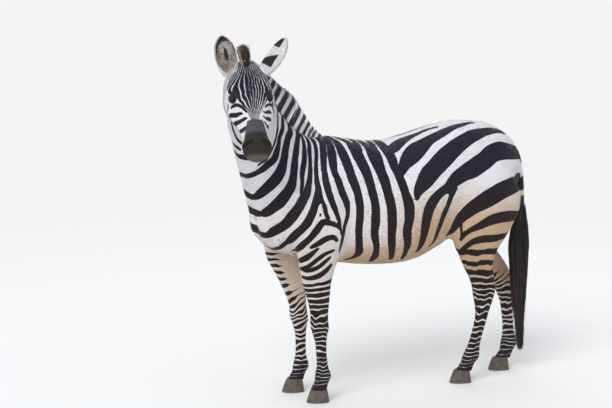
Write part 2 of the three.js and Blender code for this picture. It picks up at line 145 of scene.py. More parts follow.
# Legs: z, front, back, outer half width, inner half width, sideways shift, squareness.
FORELEG = [
    [1130, -30, 40, 30, 30, 46, 2], [1090, -70, 78, 46, 60, 46, 2], [1020, -128, 108, 62, 70, 48, 2.1],
    [940, -176, 128, 70, 70, 50, 2.1], [860, -186, 136, 74, 72, 50, 2.1], [790, -164, 122, 70, 70, 44, 2.1],
    [720, -132, 94, 61, 60, 32, 2.1], [650, -114, 66, 54, 53, 22, 2.1], [570, -87, 54, 46, 46, 9, 2.1],
    [490, -60, 48, 39, 40, 3, 2.2], [430, -48, 43, 38, 37, 0, 2.4], [395, -48, 42, 39, 38, 0, 2.6],
    [360, -46, 45, 38, 37, 0, 2.6], [325, -37, 38, 31, 30, 0, 2.3], [290, -29, 33, 24, 23, 0, 2.2],
    [230, -27, 30, 21, 20, 0, 2.2], [175, -28, 32, 23, 22, 0, 2.2], [145, -34, 39, 29, 28, 0, 2.3],
    [120, -38, 43, 32, 31, 0, 2.2], [98, -43, 33, 29, 28, 0, 2.2], [80, -51, 21, 30, 29, 0, 2.2],
    [62, -62, 15, 35, 34, 0, 2.1],
]
HINDLEG = [
    [1180, -60, 44, 34, 40, 76, 2], [1130, -120, 94, 64, 60, 74, 2.1], [1050, -184, 150, 86, 70, 66, 2.1],
    [960, -220, 176, 100, 74, 58, 2.2], [870, -234, 164, 100, 74, 52, 2.2],
    [800, -226, 128, 88, 70, 46, 2.2], [740, -200, 96, 74, 64, 36, 2.2], [680, -156, 62, 61, 55, 26, 2.2],
    [620, -121, 48, 54, 48, 14, 2.2], [560, -91, 53, 42, 40, 4, 2.2], [510, -76, 56, 38, 37, 0, 2.3],
    [470, -69, 56, 39, 38, 0, 2.5], [430, -61, 49, 38, 37, 0, 2.5], [385, -46, 42, 31, 30, 0, 2.4],
    [340, -35, 38, 25, 24, 0, 2.2], [260, -30, 36, 22, 21, 0, 2.2], [190, -31, 38, 23, 22, 0, 2.2],
    [150, -36, 45, 30, 29, 0, 2.3], [124, -40, 49, 32, 31, 0, 2.2], [102, -43, 38, 29, 28, 0, 2.2],
    [82, -51, 25, 30, 29, 0, 2.2], [62, -62, 16, 34, 33, 0, 2.1],
]
HOOF = [
    [0, -84, 27, 42], [8, -83, 27, 42], [48, -68, 20, 37], [61, -62, 16, 34],
]
# Each leg's profile, side, and the line through its middle: z, x, y.
LEGS = {
    "foreleg_left": (FORELEG, 1, [[0, 112, -352], [120, 114, -356], [360, 118, -372],
                                  [700, 120, -372], [1200, 112, -330]]),
    "foreleg_right": (FORELEG, -1, [[0, -108, -386], [120, -110, -374], [360, -114, -377],
                                    [560, -121, -400], [700, -124, -416], [1200, -112, -334]]),
    "hindleg_left": (HINDLEG, 1, [[0, 68, 444], [120, 76, 464], [330, 98, 512], [470, 108, 526],
                                  [600, 114, 504], [800, 118, 506], [1200, 90, 470]]),
    "hindleg_right": (HINDLEG, -1, [[0, -76, 746], [120, -84, 775], [330, -102, 772],
                                    [470, -110, 752], [640, -115, 660], [800, -118, 592],
                                    [1200, -90, 490]]),
}


# ------------------------------------------------------------------ curves and surfaces
def curve(rows, at):
    """Reads a table whose first column rises, at the given stations: through every other column
    runs a cubic Hermite curve whose slope at a row is that of the chord between its neighbours."""
    rows = np.asarray(rows, float)
    s, v = rows[:, 0], rows[:, 1:]
    last = len(rows) - 1
    low, high = np.maximum(np.arange(last + 1) - 1, 0), np.minimum(np.arange(last + 1) + 1, last)
    slope = (v[high] - v[low]) / (s[high] - s[low])[:, None]
    at = np.asarray(at, float)
    i = np.clip(np.searchsorted(s, at, side="left") - 1, 0, last - 1)
    h = (s[i + 1] - s[i])[..., None]
    t = np.clip((at[..., None] - s[i][..., None]) / h, 0, 1)
    t2, t3 = t * t, t * t * t
    return (
        (2 * t3 - 3 * t2 + 1) * v[i]
        + (t3 - 2 * t2 + t) * h * slope[i]
        + (3 * t2 - 2 * t3) * v[i + 1]
        + (t3 - t2) * h * slope[i + 1]
    )


def by_row(rows, at):
    """The same curve through a table, with the row number as the station."""
    rows = np.asarray(rows, float)
    return curve(np.column_stack([np.arange(len(rows)), rows]), at)


def spaced(lengths, step):
    """Row numbers, with fractions, that lie about one step apart along the summed lengths."""
    run = np.concatenate([[0], np.cumsum(lengths)])
    return np.interp(np.linspace(0, run[-1], int(run[-1] / step) + 1), run, np.arange(len(run)))


def paced(rows, step):
    """Row numbers about one step apart along the line through the rows' first three columns."""
    return spaced(np.linalg.norm(np.diff(np.asarray(rows, float)[:, :3], axis=0), axis=1), step)


def smooth(low, high, x):
    """Rises from 0 to 1 between low and high with level ends: 3t^2 - 2t^3."""
    t = np.clip((np.asarray(x, float) - low) / (high - low), 0, 1)
    return t * t * (3 - 2 * t)


def bell(x):
    """A bell curve of unit height and unit spread."""
    return np.exp(-0.5 * np.asarray(x, float) ** 2)


def unit(v):
    """Vectors divided by their lengths."""
    v = np.asarray(v, float)
    return v / np.maximum(np.linalg.norm(v, axis=-1, keepdims=True), 1e-9)


def rings(middle, side, up, reach, squareness, count):
    """Rings of quarter superellipses: the angle's cosine and sine are raised to 2/squareness and
    reach left, right, up and down by the four lengths of each ring."""
    angle = np.arange(count) * 2 * math.pi / count
    left, right, top, bottom = (np.broadcast_to(r, len(middle))[:, None] for r in reach)
    power = 2 / np.broadcast_to(squareness, len(middle))[:, None]
    c = np.sign(np.cos(angle)) * np.abs(np.cos(angle)) ** power
    s = np.sign(np.sin(angle)) * np.abs(np.sin(angle)) ** power
    wide, tall = c * np.where(c > 0, left, right), s * np.where(s > 0, top, bottom)
    side, up = (np.broadcast_to(v, middle.shape)[:, None] for v in (side, up))
    return middle[:, None] + side * wide[..., None] + up * tall[..., None]


def turn(degrees, axis):
    """A rotation about one of the three axes, as a 3 x 3 array."""
    return np.array(Matrix.Rotation(math.radians(degrees), 3, axis))


HEAD_AXES = turn(HEAD_TURN[0], "Z") @ turn(HEAD_TURN[1], "Y") @ turn(HEAD_TURN[2], "X")


def from_head(local):
    """Points s, l, n of the head's frame in the animal's frame."""
    return POLL + np.asarray(local, float) @ HEAD_AXES.T


def to_head(points):
    """Points of the animal's frame as s, l, n of the head's."""
    return (points - POLL) @ HEAD_AXES


def neck_frame(station):
    """Crest, throat, up, side, half width and widest share at stations along the neck. Up runs from
    throat to crest, and side is square to it and to the line through the middles."""
    rows = by_row(NECK, station)
    crest, throat = rows[:, 0:3], rows[:, 3:6]

    def middle(at):
        row = by_row(NECK, np.clip(at, 0, len(NECK) - 1))
        return row[:, 0:3] + row[:, 3:6]

    station = np.asarray(station, float)
    ahead = middle(station + 0.5) - middle(station - 0.5)
    up = unit(crest - throat)
    return crest, throat, up, unit(np.cross(up, ahead)), rows[:, 6], rows[:, 7]


def trunk_grid(depth, step, count):
    """The trunk: superellipse rings square to the spine, less the coat's depth."""
    rows = np.asarray(TRUNK, float)
    at = spaced(np.hypot(np.diff(rows[:, 0]), np.diff(rows[:, 1]) / 2 + np.diff(rows[:, 3]) / 2), step)
    y, top, bottom, half, widest, power = by_row(TRUNK, at).T
    height = bottom + (top - bottom) * widest
    middle = np.column_stack([0 * y, y, height])
    half = half - depth
    reach = (half, half, top - height - depth, height - bottom - depth)
    return rings(middle, ACROSS, UP, reach, power, count)


def neck_grid(depth, step, count):
    """The neck: ellipse rings from throat to crest, less the coat's depth."""
    at = paced(NECK, step)
    crest, throat, up, side, half, widest = neck_frame(at)
    deep = np.linalg.norm(crest - throat, axis=1)
    middle = throat + (crest - throat) * widest[:, None]
    half = half - depth
    reach = (half, half, deep * (1 - widest) - depth, deep * widest - depth)
    return rings(middle, side, up, reach, 2, count)


def leg_grid(name, depth, step, count):
    """A leg: level superellipse rings about its bent middle line, less the coat's depth, which thins
    out towards the hoof."""
    profile, way, line = LEGS[name]
    rows = np.asarray(profile, float)
    at = spaced(-np.diff(rows[:, 0]), step)
    z, front, back, outer, inner, shift, power = by_row(profile, at).T
    x, y = curve(line, z).T
    less = depth * smooth(40, 260, z) + 0.8
    outer, inner = outer - less, inner - less
    reach = (outer, inner) if way > 0 else (inner, outer)
    middle = np.column_stack([x + way * shift, y, z])
    return rings(middle, ACROSS, BACK, (*reach, back - less, -front - less), power, count)


def closed_through(corners, count):
    """Closed centripetal curves through the corners of each ring: between two corners runs a cubic
    whose slopes come from the square roots of the distances to the neighbours."""
    sides = corners.shape[1]
    before, here, after, next_one = (np.roll(corners, k, axis=1) for k in (1, 0, -1, -2))
    gap = [np.sqrt(np.linalg.norm(b - a, axis=-1, keepdims=True)) for a, b in
           ((before, here), (here, after), (after, next_one))]
    start = (here - before) / gap[0] - (after - before) / (gap[0] + gap[1]) + (after - here) / gap[1]
    end = (after - here) / gap[1] - (next_one - here) / (gap[1] + gap[2]) + (next_one - after) / gap[2]
    start, end = start * gap[1], end * gap[1]
    place = np.arange(count) * sides / count
    i, t = place.astype(int), (place % 1)[None, :, None]
    p, q, v, w = here[:, i], after[:, i], start[:, i], end[:, i]
    return p + v * t + (3 * (q - p) - 2 * v - w) * t**2 + (2 * (p - q) + v + w) * t**3


def head_grid(depth, step, count):
    """The bare head: closed curves through profile, brow, cheek, jaw and underline, less the coat's
    depth, which thins out towards the lips. Returned in the head's own frame."""
    rows = np.asarray(HEAD, float)
    at = spaced(np.diff(rows[:, 0]) + np.abs(np.diff(rows[:, 1])) / 3, step)
    s, top, under, brow, brow_at, cheek, cheek_at, jaw, jaw_at = by_row(HEAD, at).T
    less = depth * (0.35 + 0.65 * smooth(440, 250, s)) if depth else 0 * s
    wide = [0 * s, brow - less, cheek - less, jaw - less, 0 * s, less - jaw, less - cheek, less - brow]
    tall = [top - less, brow_at, cheek_at, jaw_at, under + less, jaw_at, cheek_at, brow_at]
    corners = np.stack([np.column_stack([s, l, n]) for l, n in zip(wide, tall)], axis=1)
    return closed_through(corners, count)


def ear_axes(name):
    """An ear's root and tip, the way along it, the way its opening looks, and the way across."""
    root, tip, opening = (np.array(v, float) for v in EARS[name])
    axis = unit(tip - root)
    open_way = unit(opening - axis * (opening @ axis))
    return root, tip, axis, open_way, np.cross(open_way, axis)


def ear_grid(name, step, count):
    """An ear: rings that run round the outside of the cupped back from rim to rim and return along
    the inside, a wall's thickness in; the wall thins to a rounded rim."""
    root, tip, axis, open_way, side = ear_axes(name)
    share = np.linspace(0, 1, int(190 / step))
    share = share + 0.06 * np.sin(share * math.pi) * (share - 0.3)
    half, deep, sway, reach = curve(EAR, share).T
    reach = np.radians(reach)[:, None]
    turn_by = np.linspace(0, 1, count, endpoint=False)[None]
    outside = turn_by < 0.5
    across = np.where(outside, turn_by * 4 - 1, 3 - turn_by * 4)
    angle = across * reach
    rim = np.sqrt(np.clip(1 - np.abs(across) ** 6, 0, 1))
    wall = np.where(outside, 0, 1) * (1.2 + 2.6 * rim) * smooth(1.0, 0.9, share)[:, None]
    along = (smooth(0.1, 0.35, share) * smooth(0.98, 0.7, share))[:, None]
    fold = 3.0 * np.cos(across * 5.2) * bell(across / 0.6) * along
    wide = np.maximum(half[:, None] - wall, 0.6) * np.sin(angle)
    back = -np.maximum(deep[:, None] - wall - np.where(outside, 0, fold * 0.6), 0.5) * np.cos(angle)
    middle = root + axis * (share * np.linalg.norm(tip - root))[:, None] + open_way * sway[:, None]
    return middle[:, None] + side * wide[..., None] + open_way * back[..., None]


def strand_rings(rows, at, count, shrink=0.0):
    """A hank or a dock: ellipse rings square to a middle line, each with its own two half widths."""
    x, y, z, wide, deep = by_row(rows, at).T
    middle = np.column_stack([x, y, z])
    ahead = np.gradient(middle, axis=0)
    back = unit(np.cross(ACROSS, ahead))
    side = unit(np.cross(ahead, back))
    wide, deep = np.maximum(wide - shrink, 1), np.maximum(deep - shrink, 1)
    return rings(middle, side, back, (wide, wide, deep, deep), 2, count)


def corners_at(*pairs):
    """Places in the map: the two columns of each corner of many faces, as one array."""
    return np.stack([np.column_stack(np.broadcast_arrays(*pair)) for pair in pairs], axis=1)


def shell(name, grid, chart=(0, 0, 1, 1)):
    """A closed mesh over a grid of rings: a quad for each cell, a fan at each end, and the map
    OFBake, in which the grid fills its own rectangle."""
    m, n = grid.shape[:2]
    ends = np.array([grid[0].mean(0), grid[-1].mean(0)])
    points = np.concatenate([grid.reshape(-1, 3), ends])
    i, j = (a.ravel() for a in np.meshgrid(np.arange(m - 1), np.arange(n), indexing="ij"))
    k = (j + 1) % n
    quads = np.column_stack([i * n + j, i * n + k, (i + 1) * n + k, (i + 1) * n + j])
    here, after = np.arange(n), (np.arange(n) + 1) % n
    first = np.column_stack([np.full(n, m * n), after, here])
    last = np.column_stack([np.full(n, m * n + 1), (m - 1) * n + here, (m - 1) * n + after])
    a, b, c = points[quads[:, 0]], points[quads[:, 1]], points[quads[:, 2]]
    inside_out = np.einsum("ij,ij->", a, np.cross(b, c)) < 0
    if inside_out:
        quads, first, last = quads[:, ::-1], first[:, ::-1], last[:, ::-1]
    u, v = np.linspace(1 / (m + 1), m / (m + 1), m), np.linspace(0, 1, n + 1)
    cell = corners_at((u[i], v[j]), (u[i], v[j + 1]), (u[i + 1], v[j + 1]), (u[i + 1], v[j]))
    fan = [corners_at((tip, (v[:-1] + v[1:]) / 2), (foot, v[one:n + one]), (foot, v[two:n + two]))
           for tip, foot, one, two in ((0.0, u[0], 1, 0), (1.0, u[-1], 0, 1))]
    if inside_out:
        cell, fan = cell[:, ::-1], [f[:, ::-1] for f in fan]
    low, size = np.array(chart[:2]), np.array(chart[2:]) - np.array(chart[:2])
    places = low + np.concatenate([block.reshape(-1, 2) for block in (cell, *fan)]) * size
    return mesh_of(name, points, [quads, first, last], places)


def mesh_of(name, points, faces, places=None, metres=True):
    """A mesh from points in millimetres, blocks of faces of equal size, and OFBake places."""
    mesh = bpy.data.meshes.new(name)
    corners = np.concatenate([f.ravel() for f in faces]).astype(np.int32)
    sizes = np.concatenate([np.full(len(f), f.shape[1]) for f in faces]).astype(np.int32)
    mesh.vertices.add(len(points))
    mesh.loops.add(len(corners))
    mesh.polygons.add(len(sizes))
    placed = points * MM + ORIGIN if metres else points
    mesh.vertices.foreach_set("co", placed.astype(np.float32).ravel())
    mesh.loops.foreach_set("vertex_index", corners)
    mesh.polygons.foreach_set("loop_start", (np.cumsum(sizes) - sizes).astype(np.int32))
    mesh.update(calc_edges=True)
    mesh.polygons.foreach_set("use_smooth", np.ones(len(sizes), bool))
    if places is not None:
        mesh.uv_layers.new(name="OFBake").data.foreach_set("uv", places.astype(np.float32).ravel())
    mesh.validate()
    return mesh


def show(name, mesh, finish=None):
    """An object for a mesh that is already in its place, with its one material."""
    piece = bpy.data.objects.new(name, mesh)
    mesh.materials.clear()
    if finish:
        mesh.materials.append(finish)
    bpy.context.scene.collection.objects.link(piece)
    return piece


def settle(mesh, finish, slot, *replaced):
    """Shows a finished mesh under its own name: it rides on the one body, takes the place of the frame's
    nodes that are named, and its slot is not used."""
    piece = show(mesh.name, mesh, finish)
    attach(piece, "root")
    if replaced:
        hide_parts(*replaced)


def read(mesh, what, owner="vertices", width=3, kind=np.float32):
    """A mesh's numbers as an array."""
    items = getattr(mesh, owner)
    values = np.empty(len(items) * width, kind)
    items.foreach_get(what, values)
    return values.reshape(-1, width) if width > 1 else values


def points_of(mesh):
    """A mesh's vertices in millimetres in the animal's frame."""
    return (read(mesh, "co").astype(float) - ORIGIN) / MM


# ------------------------------------------------------------------ skin
# Each part's rectangle in the map OFBake.
CHARTS = {
    "trunk": (0.0, 0.0, 0.5, 0.46),
    "neck": (0.0, 0.47, 0.27, 0.74),
    "head": (0.51, 0.0, 1.0, 0.46),
    "foreleg_left": (0.28, 0.47, 0.63, 0.6),
    "foreleg_right": (0.64, 0.47, 1.0, 0.6),
    "hindleg_left": (0.28, 0.61, 0.63, 0.74),
    "hindleg_right": (0.64, 0.61, 1.0, 0.74),
    "ear_left": (0.0, 0.75, 0.3, 0.99),
    "ear_right": (0.31, 0.75, 0.61, 0.99),
    "tail": (0.62, 0.75, 1.0, 0.86),
}


# Lengths of the cells along the trunk and neck, the legs, and the head and ears.
BODY_STEP, LEG_STEP, HEAD_STEP = 8.0, 7.6, 4.6


def part_meshes(depth):
    """Every part of the skin as a closed mesh of its own."""
    grids = {
        "trunk": trunk_grid(depth, BODY_STEP, 224),
        "neck": neck_grid(depth, BODY_STEP, 120),
        **{name: leg_grid(name, depth, LEG_STEP, 60 if "fore" in name else 64) for name in LEGS},
        "head": from_head(head_features(head_grid(depth, HEAD_STEP, 132))),
        **{f"ear_{side}": ear_grid(side, HEAD_STEP, 56) for side in EARS},
        "tail": strand_rings(TAIL[:7], np.linspace(0, 5.4, 60), 24, 3.0),
    }
    return {name: shell(name, grid, CHARTS[name]) for name, grid in grids.items()}


def head_features(grid):
    """The head's folds: each is a bell or a ridge along the surface's own normal, by its place s, l, n
    in the head's frame, the same on both sides."""
    normal = unit(np.cross(np.gradient(grid, axis=0), np.roll(grid, -1, 1) - np.roll(grid, 1, 1)))
    middle = grid.mean(1, keepdims=True)
    normal *= np.sign(((grid - middle) * normal).sum(-1, keepdims=True))
    s, l, n = np.moveaxis(grid, -1, 0)
    side = np.abs(l)

    def lump(at, radii, height):
        off = (np.stack([s, side, n], -1) - at) / radii
        return height * bell(np.linalg.norm(off, axis=-1))

    def ridge(start, end, width, height):
        way = np.subtract(end, start).astype(float)
        spot = np.stack([s, side, n], -1)
        t = np.clip(((spot - start) @ way) / (way @ way), 0, 1)
        off = np.linalg.norm(spot - (start + t[..., None] * way), axis=-1)
        return height * bell(off / width) * np.sqrt(np.clip(4.4 * t * (1 - t) + 0.15, 0, 1))

    rise = (
        lump((167, 88, -10), (34, 16, 10), 6)
        + lump((186, 94, -58), (26, 20, 9), 2.5)
        + lump((205, 82, -34), (10, 16, 10), -3.5)
        + lump((130, 66, 0), (26, 16, 20), -3.5)
        + lump((226, 84, -60), (26, 24, 12), -4)
        + lump((110, 106, -150), (48, 30, 44), 3.5)
        + lump((300, 74, -112), (44, 24, 16), -4.5)
        + lump((380, 50, -52), (34, 20, 14), -3)
        + lump((300, 34, -8), (70, 10, 10), 2)
        + ridge((205, 104, -86), (318, 74, -72), 9, 4.5)
        + ridge((150, 84, -232), (40, 84, -236), 12, -2)
        + lump((458, 56, -48), (30, 26, 26), 3)
        + lump((486, 40, -112), (16, 24, 9), 2.5)
        + lump((478, 40, -86), (20, 26, 7), 3)
        + lump((452, 0, -134), (24, 30, 12), 5)
    )
    lips = np.hypot(np.maximum(402 - s, 0) / 2, n - MOUTH_HEIGHT - 0.05 * np.minimum(s - 450, 0))
    rise -= 7.5 * bell(lips / 3.2) * smooth(392, 420, s)
    tilt = math.radians(35)
    u = s - NOSTRIL[0]
    v = (n - NOSTRIL[2]) * math.cos(tilt) + (side - NOSTRIL[1]) * math.sin(tilt) * 0.4
    bow = u + 0.016 * v**2 - 2
    hole = np.hypot(bow / 8, v / 16)
    rise += 3.0 * bell((hole - 1.35) / 0.3) - 13 * smooth(1.15, 0.5, hole) * (side > 20)
    socket = np.hypot((s - EYE[0]) / 25, (n - EYE[2]) / 17)
    rise -= 13 * smooth(1.15, 0.7, socket) * (side > 55)
    rise += 0.7 * np.sin(s / 2.6 + 0.02 * n) * bell((socket - 1.45) / 0.2) * (side > 55)
    return grid + normal * rise[..., None]


def union(meshes):
    """One closed mesh from overlapping closed ones, with their maps."""
    names = list(meshes)
    body = show("union", meshes[names[0]])
    others = [show(f"union_{name}", meshes[name]) for name in names[1:]]
    for other in others:
        cut = body.modifiers.new(other.name, "BOOLEAN")
        cut.operation, cut.solver, cut.object = "UNION", "MANIFOLD", other
    mesh = bpy.data.meshes.new_from_object(body.evaluated_get(bpy.context.evaluated_depsgraph_get()))
    for piece in [body, *others]:
        bpy.data.objects.remove(piece)
    return mesh


def edges_of(mesh):
    """Pairs of joined vertices, each pair both ways round."""
    pairs = read(mesh, "vertices", "edges", 2, np.int32).astype(np.int64)
    return np.concatenate([pairs, pairs[:, ::-1]])


def averager(edges, count):
    """A function that gives each vertex the mean of its neighbours' values."""
    a, b = edges[np.argsort(edges[:, 0], kind="stable")].T
    degree = np.bincount(a, minlength=count)
    starts = np.cumsum(degree) - degree
    degree = np.maximum(degree, 1)[:, None]

    def average(values):
        return np.add.reduceat(values[b], starts, axis=0) / degree

    return average


def reach_from(seam, points, edges, limit):
    """Distance from the seam along the mesh: shortest sums of edge lengths, up to a limit."""
    far = np.full(len(points), 1e6)
    far[seam] = 0
    a, b = edges.T
    length = np.linalg.norm(points[a] - points[b], axis=1)
    for _ in range(60):
        before = far.copy()
        near = far[b] < limit
        np.minimum.at(far, a[near], far[b[near]] + length[near])
        if np.array_equal(before, far):
            break
    return far


# How far each seam is blended, and for how many rounds: the parts that meet there.
BLENDS = [
    ({"foreleg_left", "foreleg_right"}, 75, 70),
    ({"hindleg_left", "hindleg_right"}, 80, 70),
    ({"trunk", "neck"}, 85, 80),
    ({"head", "neck"}, 40, 26),
    ({"head", "trunk"}, 40, 26),
    ({"ear_left", "ear_right"}, 13, 7),
    ({"tail"}, 26, 16),
]


def labels_of(mesh):
    """Each face's and each vertex's part, from its rectangle in the map, with the vertex's place in
    that rectangle, and the pairs of parts that meet at the seams."""
    places = read(mesh.uv_layers["OFBake"], "uv", "data", 2).astype(float)
    corner = read(mesh, "vertex_index", "loops", 1, np.int32)
    sizes = read(mesh, "loop_total", "polygons", 1, np.int32)
    centre = (np.add.reduceat(places, np.cumsum(sizes) - sizes, axis=0) / sizes[:, None])[:, None]
    names, boxes = np.array(list(CHARTS)), np.array(list(CHARTS.values()))
    face = ((centre >= boxes[:, :2] - 1e-4) & (centre <= boxes[:, 2:] + 1e-4)).all(-1).argmax(1)
    of_corner = np.repeat(face, sizes)
    low, high = np.full(len(mesh.vertices), 99), np.full(len(mesh.vertices), -1)
    np.minimum.at(low, corner, of_corner)
    np.maximum.at(high, corner, of_corner)
    vertex = np.zeros(len(mesh.vertices), int)
    vertex[corner] = of_corner
    place = np.zeros((len(mesh.vertices), 2))
    box = boxes[of_corner]
    place[corner] = (places - box[:, :2]) / (box[:, 2:] - box[:, :2])
    return names[face], names[vertex], place, names[np.minimum(low, 9)], names[high]


def blend(points, edges, first, second):
    """Rounds off the seams: near each, every vertex moves towards the mean of its neighbours."""
    average = averager(edges, len(points))
    for parts, limit, rounds in BLENDS:
        either = "tail" in parts or not parts & {"neck", "trunk"}
        one, two = (np.isin(side, list(parts)) for side in (first, second))
        seam = (first != second) & (one | two if either else one & two)
        if not seam.any():
            continue
        pull = smooth(limit, 0, reach_from(seam, points, edges, limit))[:, None]
        moving = pull[:, 0] > 0
        for _ in range(rounds):
            target = average(points)
            points = np.where(moving[:, None], points + 0.55 * pull * (target - points), points)
    return points


KNEE, HOCK, FETLOCK = 372, 455, 126  # heights of the joints
# Muscles and hollows: x, y, z, spreads along x, y, z, and height; each is repeated on the right.
LUMPS = [
    [215, -345, 965, 60, 70, 85, 7], [235, -262, 900, 60, 20, 110, -6], [150, -615, 935, 50, 45, 55, 6],
    [215, -440, 1060, 60, 26, 90, 3], [180, -500, 1120, 60, 24, 80, -4], [0, -655, 850, 22, 60, 80, -9],
    [60, -640, 850, 26, 50, 60, 5], [250, 235, 930, 70, 55, 85, -7], [205, 330, 1215, 50, 55, 40, 4],
    [215, 330, 800, 50, 40, 45, 5], [225, 600, 960, 60, 26, 120, -4], [240, 520, 1000, 70, 60, 110, 4],
    [200, 650, 1000, 60, 26, 90, 3], [140, -560, 1210, 50, 34, 60, 2], [110, -640, 1290, 40, 24, 80, -3],
    [120, -690, 1180, 60, 26, 110, -3], [60, -700, 1120, 24, 30, 110, 3],
]


def muscled(points, normals):
    """Adds every lump along the normals: heights of three-way bell curves."""
    rise = np.zeros(len(points))
    for x, y, z, wide, long, tall, height in LUMPS:
        for way in (1, -1) if x else (1,):
            off = (points - [way * x, y, z]) / [wide, long, tall]
            rise += height * np.exp(-0.5 * (off**2).sum(1))
    rise += 0.7 * ripple(points, 120, 41, 2) * smooth(400, 650, points[:, 2])
    return points + normals * rise[:, None]


def legs_detailed(points, normals, labels):
    """Joints and tendons: below the knee and the hock a groove runs down each side between the bone
    and the tendons, and the knee, the hock and the fetlock have their bony points."""
    rise = np.zeros(len(points))
    for name, (_, _, line) in LEGS.items():
        on = labels == name
        p, nrm = points[on], normals[on]
        z = p[:, 2]
        off = p[:, 1] - curve(line, z)[:, 1]
        side = np.abs(nrm[:, 0])
        fore = "fore" in name
        knee = KNEE if fore else HOCK
        groove = smooth(140, 175, z) * smooth(knee - 30, knee - 80, z)
        rise[on] -= 3.2 * groove * side**2 * bell((off - 9) / 6)
        rise[on] += 1.6 * groove * side * bell((off + 10) / 10)
        rise[on] += 2.4 * side * bell((z - FETLOCK) / 12) * bell((off - 16) / 14)
        rise[on] += 2.0 * side * bell((z - knee - (8 if fore else 0)) / 16) * bell((off + 8) / 16)
        rise[on] -= 2.2 * side * bell((z - knee - 8) / 30) * bell((off - 26) / 8)
        rise[on] -= 1.6 * bell((z - 100) / 7)
        rise[on] -= 1.2 * smooth(-0.3, -0.8, nrm[:, 1]) * bell((z - knee + 26) / 10)
        upper = smooth(knee + 60, knee + 120, z) * smooth(knee + 330, knee + 200, z)
        rise[on] += 2.2 * upper * side * np.cos(off / 16 + z / 130)
    return points + normals * rise[:, None]


# ------------------------------------------------------------------ markings
# Stations of the mane's dark bands: station along the neck, band number.
MANE_BANDS = [[0.5, -4.6], [1, -3], [1.7, -1], [2.07, 0], [2.48, 1], [2.98, 2], [3.58, 3], [4.18, 4],
              [4.92, 5], [5.6, 6], [6.2, 7], [6.8, 8], [7.4, 9], [8, 10]]
